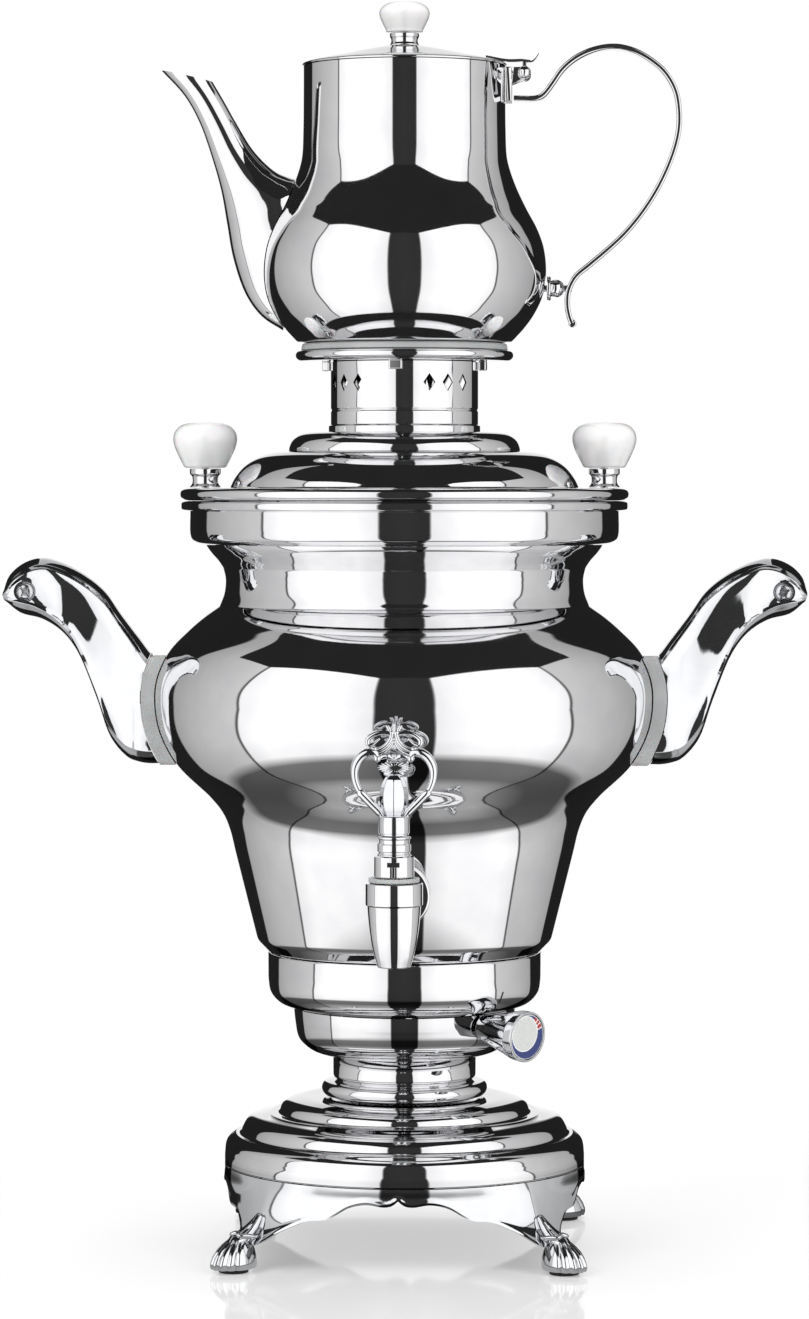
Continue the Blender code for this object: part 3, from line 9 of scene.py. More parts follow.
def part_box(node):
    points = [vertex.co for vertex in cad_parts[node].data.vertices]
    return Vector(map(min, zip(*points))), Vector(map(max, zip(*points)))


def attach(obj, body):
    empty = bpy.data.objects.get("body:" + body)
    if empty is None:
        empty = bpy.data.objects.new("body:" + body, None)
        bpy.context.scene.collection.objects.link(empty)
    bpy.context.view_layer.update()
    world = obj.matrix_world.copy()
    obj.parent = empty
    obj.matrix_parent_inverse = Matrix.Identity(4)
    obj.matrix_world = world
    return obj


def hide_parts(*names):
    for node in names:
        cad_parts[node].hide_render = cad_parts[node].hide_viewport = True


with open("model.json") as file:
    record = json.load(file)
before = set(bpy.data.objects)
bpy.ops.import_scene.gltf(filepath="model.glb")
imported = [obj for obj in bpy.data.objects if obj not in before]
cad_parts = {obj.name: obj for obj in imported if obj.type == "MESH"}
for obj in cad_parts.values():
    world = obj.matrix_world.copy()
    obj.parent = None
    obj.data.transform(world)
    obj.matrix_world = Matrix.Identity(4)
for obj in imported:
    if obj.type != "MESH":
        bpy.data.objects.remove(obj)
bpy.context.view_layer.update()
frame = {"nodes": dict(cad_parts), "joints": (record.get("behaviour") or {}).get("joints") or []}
nodes = frame["nodes"]

# Electric samovar with its teapot. Outlines are in millimetres: distance from the piece's own axis,
# then height over the foot of the node that it stands for. A third number rounds a corner.
mm = 0.001
degree = math.pi / 180
fineSteps = 144
midSteps = 96
smallSteps = 48
sheetWall = 0.8


def lowZ(node):
    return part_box(node)[0].z / mm


def highZ(node):
    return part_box(node)[1].z / mm


def middleOf(node):
    low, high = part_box(node)
    return (low + high) / 2 / mm


axisY = middleOf("tank_collar").y
tapY = middleOf("tap_washer").y
samovarAxis = (0.0, axisY, 0.0)


# Colours and nodes

def colour(hexCode):
    linear = []
    for i in (1, 3, 5):
        value = int(hexCode[i:i + 2], 16) / 255
        linear.append(value / 12.92 if value <= 0.04045 else ((value + 0.055) / 1.055) ** 2.4)
    return (*linear, 1.0)


def addNode(tree, kind, settings=None, **links):
    node = tree.nodes.new(kind)
    for name, value in (settings or {}).items():
        if isinstance(name, str) and hasattr(node, name):
            setattr(node, name, value)
        else:
            node.inputs[name].default_value = value
    for name, source in links.items():
        key = int(name[1:]) if name[0] == "i" and name[1:].isdigit() else name.replace("_", " ")
        tree.links.new(source, node.inputs[key])
    return node


def newMaterial(name):
    material = bpy.data.materials.new(name)
    material.use_nodes = True
    tree = material.node_tree
    shader = tree.nodes["Principled BSDF"]
    return material, tree, shader


def noiseBetween(tree, source, perMetre, low, high, detail=3.0, stretch=(1, 1, 1)):
    # a value or colour that wanders between two, by a noise of a real size
    place = addNode(tree, "ShaderNodeMapping", {"Scale": stretch}, Vector=source)
    noise = addNode(
        tree, "ShaderNodeTexNoise", {"Scale": perMetre, "Detail": detail}, Vector=place.outputs[0]
    )
    ramp = addNode(tree, "ShaderNodeValToRGB", None, Fac=noise.outputs[0])
    ramp.color_ramp.elements[0].position = 0.3
    ramp.color_ramp.elements[0].color = low
    ramp.color_ramp.elements[1].position = 0.7
    ramp.color_ramp.elements[1].color = high
    return noise, ramp


def grey(value):
    return (value, value, value, 1.0)


def surface(name, dark, light, grain, roughness, bump, metallic=0.0, stretch=(1, 1, 1), **sockets):
    # colour and roughness wander a little, and a bump of a real grain size in mm lies over both
    material, tree, shader = newMaterial(name)
    where = addNode(tree, "ShaderNodeTexCoord").outputs["Object"]
    tone = noiseBetween(tree, where, 1 / (14 * mm), colour(dark), colour(light))[1]
    gloss = noiseBetween(
        tree, where, 1 / (grain * 3 * mm), grey(roughness[0]), grey(roughness[1]), stretch=stretch
    )[1]
    relief = noiseBetween(tree, where, 1 / (grain * mm), grey(0), grey(1), 2.0, stretch)[0]
    raised = addNode(
        tree, "ShaderNodeBump", {"Strength": bump[0], "Distance": bump[1] * mm}, Height=relief.outputs[0]
    )
    links = tree.links
    links.new(tone.outputs[0], shader.inputs["Base Color"])
    links.new(gloss.outputs[0], shader.inputs["Roughness"])
    links.new(raised.outputs[0], shader.inputs["Normal"])
    shader.inputs["Metallic"].default_value = metallic
    for socket, value in sockets.items():
        shader.inputs[socket.replace("_", " ")].default_value = value
    return material


# 18/10 stainless steel, spun and mirror polished: all that the eye gets is a clean reflection, with
# a trace of the polishing mop in it
def mirrorPolishedSteel():
    return surface(
        "mirrorPolishedSteel", "#E7E7E9", "#EFEFF0", 26, (0.018, 0.05), (0.02, 0.02), metallic=1.0
    )


# Zinc die casting, polished and chrome plated: a shade bluer, with a slow waviness of the casting
def chromedZincCasting():
    return surface(
        "chromedZincCasting", "#E2E3E6", "#ECEDEF", 9, (0.03, 0.07), (0.06, 0.05), metallic=1.0
    )


# Rolled and turned steel that is not polished: fine lines from the tool, drawn 0.5 mm apart
def turnedPlainSteel():
    return surface(
        "turnedPlainSteel", "#A9AAAC", "#C4C5C7", 0.5, (0.26, 0.42), (0.25, 0.03), metallic=1.0,
        stretch=(1, 1, 8),
    )


# Zinc plated screw steel: brighter than the plain steel and a little mottled
def zincPlatedScrew():
    return surface(
        "zincPlatedScrew", "#C9CACC", "#E3E4E6", 1.2, (0.12, 0.28), (0.15, 0.02), metallic=1.0
    )


# Moulded black rubber: matt, with a fine sandy skin
def mouldedRubber():
    return surface(
        "mouldedRubber", "#17171A", "#232326", 0.7, (0.62, 0.8), (0.4, 0.05)
    )


# Moulded grey silicone: a satin skin that lets a little light in
def mouldedSilicone():
    return surface(
        "mouldedSilicone", "#A9ABAB", "#B8BABA", 0.8, (0.36, 0.5), (0.15, 0.03),
        Subsurface_Weight=0.2, Subsurface_Scale=1.5 * mm,
    )


# Hard-paste porcelain, glazed and fired: white with a cool cast under a clear wet glaze
def glazedPorcelain():
    return surface(
        "glazedPorcelain", "#EDEDEE", "#F6F6F5", 6, (0.10, 0.2), (0.05, 0.05),
        Subsurface_Weight=0.15, Subsurface_Scale=2 * mm, Coat_Weight=1.0, Coat_Roughness=0.03,
    )


# Glass-filled nylon, moulded: black and dull
def mouldedNylon():
    return surface("mouldedNylon", "#121214", "#1D1D20", 0.6, (0.42, 0.6), (0.3, 0.04))


# Steatite, pressed and fired: cream, dry to the eye
def pressedSteatite():
    return surface("pressedSteatite", "#CFC7B4", "#DDD6C6", 0.9, (0.45, 0.65), (0.3, 0.05))


dialFace = {
    "faceRadius": 9.9, "discRadius": 7.1, "discAcross": -1.45, "discUp": 1.45, "lineWidth": 0.42,
    "redFrom": 25.0, "redTo": 62.0, "redLines": (38.0, 50.0), "redLineWidth": 3.4,
    "disc": "#D6D8D6", "ink": "#1D2F74", "red": "#B0211D", "white": "#F3F4F4",
}


# Printed metal foil under a clear lacquer: a grey disc set off its middle leaves a blue crescent
# with a red end, for less and more heat
def printedDialFoil(centre, turn):
    material, tree, shader = newMaterial("printedDialFoil")
    where = addNode(tree, "ShaderNodeTexCoord").outputs["Object"]
    # into the face's own plane, in mm: first its middle to zero, then its axis to Z
    moved = addNode(
        tree, "ShaderNodeVectorMath", {"operation": "SUBTRACT", 1: tuple(centre)}, i0=where
    )
    flat = addNode(
        tree, "ShaderNodeMapping", {"vector_type": "TEXTURE", "Rotation": turn}, Vector=moved.outputs[0]
    )
    inMm = addNode(
        tree, "ShaderNodeVectorMath", {"operation": "SCALE", "Scale": 1 / mm}, i0=flat.outputs[0]
    )
    xyz = addNode(tree, "ShaderNodeSeparateXYZ", None, i0=inMm.outputs[0])
    plane = addNode(tree, "ShaderNodeCombineXYZ", None, i0=xyz.outputs[0], i1=xyz.outputs[1])
    fromMiddle = addNode(tree, "ShaderNodeVectorMath", {"operation": "LENGTH"}, i0=plane.outputs[0])
    offDisc = addNode(
        tree, "ShaderNodeVectorMath",
        {"operation": "DISTANCE", 1: (dialFace["discAcross"], dialFace["discUp"], 0)},
        i0=plane.outputs[0],
    )
    bearing = addNode(
        tree, "ShaderNodeMath", {"operation": "ARCTAN2"}, i0=xyz.outputs[1], i1=xyz.outputs[0]
    )
    inDegrees = addNode(
        tree, "ShaderNodeMath", {"operation": "MULTIPLY", 1: 1 / degree}, i0=bearing.outputs[0]
    )

    def isBelow(value, limit):
        return addNode(tree, "ShaderNodeMath", {"operation": "LESS_THAN", 1: limit}, i0=value).outputs[0]

    def painted(share, under, hexCode):
        mix = addNode(tree, "ShaderNodeMix", {"data_type": "RGBA"})
        tree.links.new(share, mix.inputs["Factor"])
        mix.inputs[7].default_value = colour(hexCode)
        if under is None:
            mix.inputs[6].default_value = colour(dialFace["ink"])
        else:
            tree.links.new(under, mix.inputs[6])
        return mix.outputs[2]

    def inSector(start, end):
        over = addNode(tree, "ShaderNodeMath", {"operation": "GREATER_THAN", 1: start},
                       i0=inDegrees.outputs[0])
        return addNode(
            tree, "ShaderNodeMath", {"operation": "MULTIPLY"}, i0=over.outputs[0],
            i1=isBelow(inDegrees.outputs[0], end),
        ).outputs[0]

    paint = painted(inSector(dialFace["redFrom"], dialFace["redTo"]), None, dialFace["red"])
    for line in (dialFace["redFrom"] - dialFace["redLineWidth"] / 2, *dialFace["redLines"]):
        halfLine = dialFace["redLineWidth"] / 2
        paint = painted(inSector(line - halfLine, line + halfLine), paint, dialFace["white"])
    edge = dialFace["lineWidth"]
    paint = painted(isBelow(offDisc.outputs["Value"], dialFace["discRadius"] + edge), paint,
                    dialFace["white"])
    paint = painted(isBelow(offDisc.outputs["Value"], dialFace["discRadius"]), paint, dialFace["disc"])
    outside = addNode(
        tree, "ShaderNodeMath", {"operation": "GREATER_THAN", 1: dialFace["faceRadius"] - edge * 2},
        i0=fromMiddle.outputs["Value"],
    )
    paint = painted(outside.outputs[0], paint, dialFace["white"])
    tree.links.new(paint, shader.inputs["Base Color"])
    gloss = noiseBetween(tree, where, 1 / (2 * mm), grey(0.22), grey(0.34))[1]
    tree.links.new(gloss.outputs[0], shader.inputs["Roughness"])
    shader.inputs["Coat Weight"].default_value = 0.6
    shader.inputs["Coat Roughness"].default_value = 0.08
    return material


steel = mirrorPolishedSteel()
casting = chromedZincCasting()
plainSteel = turnedPlainSteel()
screwSteel = zincPlatedScrew()
rubber = mouldedRubber()
silicone = mouldedSilicone()
porcelain = glazedPorcelain()
nylon = mouldedNylon()
steatite = pressedSteatite()
print("materials made")


# Shapes

def curveThrough(points, perSpan):
    # a centripetal curve through the points, or the straight line where there are two
    if len(points) == 2:
        return list(points)
    padded = [points[0] * 2 - points[1]] + list(points) + [points[-1] * 2 - points[-2]]
    line = [points[0].copy()]
    for p0, p1, p2, p3 in zip(padded, padded[1:], padded[2:], padded[3:]):
        t1 = (p1 - p0).length ** 0.5
        t2 = t1 + (p2 - p1).length ** 0.5
        t3 = t2 + (p3 - p2).length ** 0.5
        for i in range(1, perSpan + 1):
            t = t1 + (t2 - t1) * i / perSpan
            a1 = p0 * ((t1 - t) / t1) + p1 * (t / t1)
            a2 = p1 * ((t2 - t) / (t2 - t1)) + p2 * ((t - t1) / (t2 - t1))
            a3 = p2 * ((t3 - t) / (t3 - t2)) + p3 * ((t - t2) / (t3 - t2))
            b1 = a1 * ((t2 - t) / t2) + a2 * (t / t2)
            b2 = a2 * ((t3 - t) / (t3 - t1)) + a3 * ((t - t1) / (t3 - t1))
            line.append(b1 * ((t2 - t) / (t2 - t1)) + b2 * ((t - t1) / (t2 - t1)))
    return line


def trimmed(line, length):
    # the line without a length at its end, and one more point a little before the new end
    left = length
    line = list(line)
    while len(line) > 2 and (line[-1] - line[-2]).length <= left:
        left -= (line[-1] - line[-2]).length
        line.pop()
    step = line[-2] - line[-1]
    left = min(left, step.length * 0.45)
    end = line[-1] + step.normalized() * left
    near = end + step.normalized() * min(length * 0.3, (step.length - left) * 0.5)
    return line[:-1] + [near, end]


def traced(outline, perSpan=8, rounded=True):
    runs = [[Vector(outline[0][:2])]]
    radii = []
    for i, point in enumerate(outline[1:], 1):
        runs[-1].append(Vector(point[:2]))
        if len(point) == 3 and i < len(outline) - 1:
            radii.append(point[2])
            runs.append([Vector(point[:2])])
    curves = [curveThrough(run, perSpan) for run in runs]
    line = curves[0]
    for radius, following in zip(radii, curves[1:]):
        corner = following[0]
        if radius > 0 and rounded:
            before = trimmed(line, radius)
            after = trimmed(following[::-1], radius)[::-1]
            bend = []
            for i in range(1, 5):
                t = i / 5
                bend.append(before[-1] * (1 - t) ** 2 + corner * 2 * t * (1 - t) + after[0] * t ** 2)
            line = before + bend + after
        else:
            line = line + following[1:]
    return line


def offsetLine(line, distance):
    # to the left of its run, with mitred corners
    moved = []
    for i, here in enumerate(line):
        legs = []
        if i > 0:
            legs.append(here - line[i - 1])
        if i < len(line) - 1:
            legs.append(line[i + 1] - here)
        normals = [Vector((-leg.y, leg.x)).normalized() for leg in legs]
        middle = (normals[0] + normals[-1]).normalized()
        moved.append(here + middle * distance / max(middle.dot(normals[0]), 0.5))
    return moved


def shellLine(outline, wall=sheetWall, perSpan=8):
    # an outer side that runs down, and back up the inside of its sheet
    outer = traced(outline, perSpan)
    inner = offsetLine(traced(outline, perSpan, rounded=False), -wall)
    return outer + inner[::-1]


def turnedMesh(line, steps, closed=False):
    bm = bmesh.new()
    rings = []
    for r, z in line:
        if abs(r) < 1e-6:
            rings.append([bm.verts.new((0, 0, z))])
        else:
            turns = [2 * math.pi * i / steps for i in range(steps)]
            rings.append([bm.verts.new((r * math.cos(t), r * math.sin(t), z)) for t in turns])
    pairs = list(zip(rings, rings[1:]))
    if closed:
        pairs.append((rings[-1], rings[0]))
    for upper, lower in pairs:
        if len(upper) == 1 and len(lower) == 1:
            continue
        for i in range(steps):
            j = (i + 1) % steps
            corners = [upper[i % len(upper)], lower[i % len(lower)], lower[j % len(lower)],
                       upper[j % len(upper)]]
            bm.faces.new(dict.fromkeys(corners))
    return bm


def asPiece(name, bm, material, place=None, sharp=None):
    # millimetres to metres, and the place into the mesh
    bmesh.ops.recalc_face_normals(bm, faces=bm.faces)
    mesh = bpy.data.meshes.new(name)
    bm.to_mesh(mesh)
    bm.free()
    mesh.transform((place or Matrix.Identity(4)))
    mesh.transform(Matrix.Scale(mm, 4))
    mesh.shade_smooth()
    if sharp:
        mesh.set_sharp_from_angle(angle=sharp * degree)
    mesh.materials.append(material)
    piece = bpy.data.objects.new(name, mesh)
    bpy.context.scene.collection.objects.link(piece)
    return piece


def turned(name, line, material, place, steps=midSteps, closed=True):
    return asPiece(name, turnedMesh(line, steps, closed), material, place)


def at(x, y, z):
    return Matrix.Translation((x, y, z))


def onAxis(z=0.0):
    return at(*samovarAxis) @ at(0, 0, z)


def facing(bearing, tilt=0.0):
    # turns +Z outward at a bearing in degrees from the front towards +X
    return Matrix.Rotation(bearing * degree, 4, "Z") @ Matrix.Rotation((90 + tilt) * degree, 4, "X")


def evaluatedMesh(piece):
    bpy.context.view_layer.update()
    graph = bpy.context.evaluated_depsgraph_get()
    return bpy.data.meshes.new_from_object(piece.evaluated_get(graph))


def applied(piece):
    mesh = evaluatedMesh(piece)
    piece.modifiers.clear()
    old = piece.data
    piece.data = mesh
    bpy.data.meshes.remove(old)
    return piece


def combined(piece, operation, *tools, sharp=35):
    for tool in tools:
        step = piece.modifiers.new(operation.lower(), "BOOLEAN")
        step.operation = operation
        step.object = tool
        step.solver = "EXACT"
    applied(piece)
    for tool in tools:
        bpy.data.objects.remove(tool, do_unlink=True)
    piece.data.shade_smooth()
    piece.data.set_sharp_from_angle(angle=sharp * degree)
    return piece


def joined(piece, *others):
    # one mesh of several closed forms
    bm = bmesh.new()
    bm.from_mesh(piece.data)
    for other in others:
        bm.from_mesh(other.data)
        bpy.data.objects.remove(other, do_unlink=True)
    bm.to_mesh(piece.data)
    bm.free()
    return piece


def bevelled(piece, width, segments=3, angle=40):
    step = piece.modifiers.new("edge", "BEVEL")
    step.width = width * mm
    step.segments = segments
    step.limit_method = "ANGLE"
    step.angle_limit = angle * degree
    step.harden_normals = True
    return applied(piece)


def flatPlate(name, rings, thickness, material, place=None):
    # outlines in the XZ plane, the first with the others as holes, as thick as given along Y
    curve = bpy.data.curves.new(name, "CURVE")
    curve.dimensions = "2D"
    curve.fill_mode = "BOTH"
    curve.extrude = thickness / 2
    for ring in rings:
        spline = curve.splines.new("POLY")
        spline.points.add(len(ring) - 1)
        for knot, (x, z) in zip(spline.points, ring):
            knot.co = (x, z, 0, 1)
        spline.use_cyclic_u = True
    guide = bpy.data.objects.new(name, curve)
    bpy.context.scene.collection.objects.link(guide)
    mesh = evaluatedMesh(guide)
    bpy.data.objects.remove(guide, do_unlink=True)
    bm = bmesh.new()
    bm.from_mesh(mesh)
    bmesh.ops.remove_doubles(bm, verts=bm.verts, dist=0.001)
    upright = Matrix.Rotation(math.pi / 2, 4, "X")
    return asPiece(name, bm, material, (place or Matrix.Identity(4)) @ upright, sharp=35)


def sweptMesh(sections):
    # rings of points, closed over both ends
    bm = bmesh.new()
    rings = [[bm.verts.new(point) for point in section] for section in sections]
    count = len(rings[0])
    for first, second in zip(rings, rings[1:]):
        for i in range(count):
            j = (i + 1) % count
            bm.faces.new((first[i], first[j], second[j], second[i]))
    bm.faces.new(rings[0][::-1])
    bm.faces.new(rings[-1])
    return bm


def wireMesh(path, radii, sides=14):
    # a round wire whose radius changes along its path, with domed ends
    points = [Vector(point) for point in path]
    sections = []
    last = None
    for i, here in enumerate(points):
        ahead = points[min(i + 1, len(points) - 1)] - points[max(i - 1, 0)]
        ahead.normalize()
        side = ahead.cross(Vector((0, 1, 0))) if last is None else last - ahead * last.dot(ahead)
        if side.length < 1e-6:
            side = ahead.cross(Vector((1, 0, 0)))
        side.normalize()
        last = side
        up = ahead.cross(side)
        for reach, size in (((-0.9, 0.42), (-0.5, 0.86), (0, 1)) if i == 0 else
                            ((0, 1), (0.5, 0.86), (0.9, 0.42)) if i == len(points) - 1 else ((0, 1),)):
            middle = here + ahead * reach * radii[i]
            sections.append([
                middle + (side * math.cos(t) + up * math.sin(t)) * radii[i] * size
                for t in (2 * math.pi * k / sides for k in range(sides))
            ])
    return sweptMesh(sections)


def smoothPath(points, perSpan=6):
    return curveThrough([Vector(point) for point in points], perSpan)


# Repeats by geometry nodes: groups of copies of one shape round an upright axis

def ringTree():
    tree = bpy.data.node_groups.new("copiesRoundAxis", "GeometryNodeTree")
    tree.is_modifier = True
    sockets = {}
    for name, kind in (
        ("Shape", "NodeSocketObject"), ("Groups", "NodeSocketInt"), ("Copies", "NodeSocketInt"),
        ("Spacing", "NodeSocketFloat"), ("Middle", "NodeSocketFloat"), ("Radius", "NodeSocketFloat"),
        ("Height", "NodeSocketFloat"), ("Finish", "NodeSocketMaterial"),
    ):
        sockets[name] = tree.interface.new_socket(name=name, in_out="INPUT", socket_type=kind).identifier
    tree.interface.new_socket(name="Geometry", in_out="OUTPUT", socket_type="NodeSocketGeometry")
    given = addNode(tree, "NodeGroupInput").outputs

    def sum2(operation, first, second):
        node = tree.nodes.new("ShaderNodeMath")
        node.operation = operation
        for socket, value in zip(node.inputs, (first, second)):
            if isinstance(value, (int, float)):
                socket.default_value = value
            else:
                tree.links.new(value, socket)
        return node.outputs[0]

    total = sum2("MULTIPLY", given["Groups"], given["Copies"])
    line = addNode(tree, "GeometryNodeMeshLine", None, Count=total)
    index = addNode(tree, "GeometryNodeInputIndex").outputs[0]
    group = sum2("FLOOR", sum2("DIVIDE", index, given["Copies"]), 0.0)
    copy = sum2("SUBTRACT", index, sum2("MULTIPLY", group, given["Copies"]))
    middle = sum2("DIVIDE", sum2("SUBTRACT", given["Copies"], 1.0), 2.0)
    turn = sum2("DIVIDE", sum2("MULTIPLY", group, 2 * math.pi), given["Groups"])
    bearing = sum2("ADD", sum2("ADD", given["Middle"], turn),
                   sum2("MULTIPLY", sum2("SUBTRACT", copy, middle), given["Spacing"]))
    across = sum2("MULTIPLY", given["Radius"], sum2("SINE", bearing, 0.0))
    ahead = sum2("MULTIPLY", sum2("MULTIPLY", given["Radius"], sum2("COSINE", bearing, 0.0)), -1.0)
    spot = addNode(tree, "ShaderNodeCombineXYZ", None, i0=across, i1=ahead, i2=given["Height"])
    spread = addNode(tree, "GeometryNodeSetPosition", None, Geometry=line.outputs[0],
                     Position=spot.outputs[0])
    turned3 = addNode(tree, "ShaderNodeCombineXYZ", None, i2=bearing)
    shape = addNode(tree, "GeometryNodeObjectInfo", None, Object=given["Shape"])
    placed = addNode(
        tree, "GeometryNodeInstanceOnPoints", None, Points=spread.outputs[0],
        Instance=shape.outputs["Geometry"], Rotation=turned3.outputs[0],
    )
    real = addNode(tree, "GeometryNodeRealizeInstances", None, Geometry=placed.outputs[0])
    finished = addNode(tree, "GeometryNodeSetMaterial", None, Geometry=real.outputs[0],
                       Material=given["Finish"])
    out = addNode(tree, "NodeGroupOutput")
    tree.links.new(finished.outputs[0], out.inputs[0])
    return tree, sockets


ringNodes, ringSockets = ringTree()


def roundAxis(name, shape, material, place, groups=1, copies=1, spacing=0.0, middle=0.0, radius=0.0,
              height=0.0):
    # the shape is one copy at the front, in metres, and goes once it has been copied
    holder = bpy.data.objects.new(name, bpy.data.meshes.new(name))
    bpy.context.scene.collection.objects.link(holder)
    step = holder.modifiers.new("copies", "NODES")
    step.node_group = ringNodes
    for socket, value in (
        ("Shape", shape), ("Groups", groups), ("Copies", copies), ("Spacing", spacing * degree),
        ("Middle", middle * degree), ("Radius", radius * mm), ("Height", height * mm),
        ("Finish", material),
    ):
        step[ringSockets[socket]] = value
    mesh = evaluatedMesh(holder)
    holder.modifiers.clear()
    holder.data = mesh
    mesh.transform(Matrix.Scale(mm, 4) @ place @ Matrix.Scale(1 / mm, 4))
    if not mesh.materials:
        mesh.materials.append(material)
    bpy.data.objects.remove(shape, do_unlink=True)
    return holder


def blockOf(name, size, material, place):
    bm = bmesh.new()
    bmesh.ops.create_cube(bm, size=1)
    bmesh.ops.scale(bm, vec=size, verts=bm.verts)
    return asPiece(name, bm, material, place, sharp=35)


def rodOf(name, radius, low, high, material, place, sides=smallSteps):
    return turned(name, [Vector(p) for p in ((0, high), (radius, high), (radius, low), (0, low))],
                  material, place, sides, closed=False)


def rides(piece, body, slot, *replaced):
    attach(piece, body)
    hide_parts(*replaced)
    return piece


# Claw base: a scalloped apron, flared at four corners into paws

clawBase = {
    "height": 33.9, "shieldRadius": 76.7, "ankleRadius": 89.5, "thickness": 2.2, "bead": 0.35,
    "keel": 2.4, "ledgeInner": 67.6, "ledgeLow": 31.0, "ledgeTop": 33.6,
    # share of the half span from a foot's middle, share of the height
    "scallop": ((0.00, 0.26), (0.07, 0.262), (0.17, 0.41), (0.26, 0.50), (0.36, 0.575), (0.50, 0.61),
                (0.66, 0.765), (0.78, 0.81), (0.90, 0.785), (0.955, 0.80), (1.00, 0.86)),
    # share of the height, share of the way out to the ankle
    "flare": ((1.00, 0.0), (0.80, 0.01), (0.60, 0.14), (0.42, 0.46), (0.26, 1.0)),
    "columns": 40, "rows": 16,
}
paw = {
    "out": 96.5, "length": 21.0, "breadth": 16.6, "height": 13.0, "toes": 5, "toeFan": 62.0,
    "toeDepth": 0.17, "claw": 1.3,
    # share of the height, share of the plan, share of the length that it steps back
    "levels": ((0.0, 0.96, 0.0), (0.07, 1.0, 0.0), (0.2, 0.99, 0.0), (0.38, 0.93, 0.02),
               (0.58, 0.81, 0.05), (0.75, 0.64, 0.09), (0.9, 0.45, 0.14), (1.0, 0.28, 0.19)),
}
footCorners = {"rear_right": 45, "rear_left": 135, "front_left": 225, "front_right": 315}


def readShare(table, share):
    pairs = sorted(table)
    for (a, low), (b, high) in zip(pairs, pairs[1:]):
        if share <= b:
            t = (share - a) / (b - a)
            return low + (high - low) * t
    return pairs[-1][1]


def smoothTable(table, perSpan=8):
    return [tuple(point) for point in curveThrough([Vector(pair) for pair in table], perSpan)]


def clawReach(share, height, flare):
    swell = readShare(flare, height)
    reach = clawBase["shieldRadius"] + (clawBase["ankleRadius"] - clawBase["shieldRadius"]) * swell
    keel = max(0.0, 1 - abs(share) / 0.42) ** 1.4 * math.sin(math.pi * min(1.0, (1 - height) / 0.9))
    return reach + clawBase["keel"] * keel


def makeApron():
    scallop = smoothTable(clawBase["scallop"])
    flare = smoothTable(clawBase["flare"][::-1])
    base = lowZ("claw_base")
    bm = bmesh.new()
    columns = []
    count = clawBase["columns"]
    for corner in footCorners.values():
        for i in range(-count, count):
            share = i / count
            low = readShare(scallop, abs(share))
            column = []
            for j in range(clawBase["rows"] + 1):
                # rows draw together near the lower edge, where a bead runs along the scallops
                t = 1 - (1 - j / clawBase["rows"]) ** 1.7
                height = 1 - (1 - low) * t
                reach = clawReach(share, height, flare)
                edgeAway = (height - low) * clawBase["height"]
                reach += clawBase["bead"] * math.exp(-((edgeAway - 1.1) / 0.8) ** 2)
                turn = Matrix.Rotation((corner + share * 45) * degree, 3, "Z")
                column.append(turn @ Vector((reach, 0, clawBase["height"] * height)))
            columns.append(column)
    outer = [[bm.verts.new(point) for point in column] for column in columns]
    inner = []
    for column in columns:
        row = []
        for point in column:
            flat = Vector((point.x, point.y, 0))
            row.append(bm.verts.new(point - flat.normalized() * clawBase["thickness"]))
        inner.append(row)
    last = clawBase["rows"]
    for i in range(len(columns)):
        j = (i + 1) % len(columns)
        for k in range(last):
            bm.faces.new((outer[i][k], outer[i][k + 1], outer[j][k + 1], outer[j][k]))
            bm.faces.new((inner[i][k], inner[j][k], inner[j][k + 1], inner[i][k + 1]))
        bm.faces.new((outer[i][0], outer[j][0], inner[j][0], inner[i][0]))
        bm.faces.new((outer[i][last], inner[i][last], inner[j][last], outer[j][last]))
    apron = asPiece("clawApron", bm, casting, onAxis(base), sharp=50)
    return bevelled(apron, 0.45, 2, 60)


def makePaw(corner):
    half = paw["breadth"] / 2
    steps = 120
    sections = []
    for up, size, back in paw["levels"]:
        section = []
        for i in range(steps):
            bearing = 360 * i / steps
            t = bearing * degree
            fromFront = (bearing + 180) % 360 - 180
            # toes fan round the front, deepest low down
            toes = 0.0
            if abs(fromFront) < paw["toeFan"] * 1.25:
                phase = (fromFront / paw["toeFan"] + 1) / 2 * paw["toes"] * math.pi
                toes = 1 - abs(math.sin(phase)) ** 0.7
                toes *= min(1.0, (paw["toeFan"] * 1.25 - abs(fromFront)) / 12)
            plan = 1 - paw["toeDepth"] * toes * (1 - 0.35 * up)
            longer = paw["length"] / 2 * (1 + 0.05 * math.cos(2 * t))
            section.append(Vector((
                paw["out"] - paw["length"] * back + longer * size * plan * math.cos(t),
                half * size * plan * math.sin(t), paw["height"] * up,
            )))
        sections.append(section)
    return asPiece("paw", sweptMesh(sections), casting,
                   onAxis(lowZ("claw_base")) @ Matrix.Rotation(corner * degree, 4, "Z"), sharp=60)


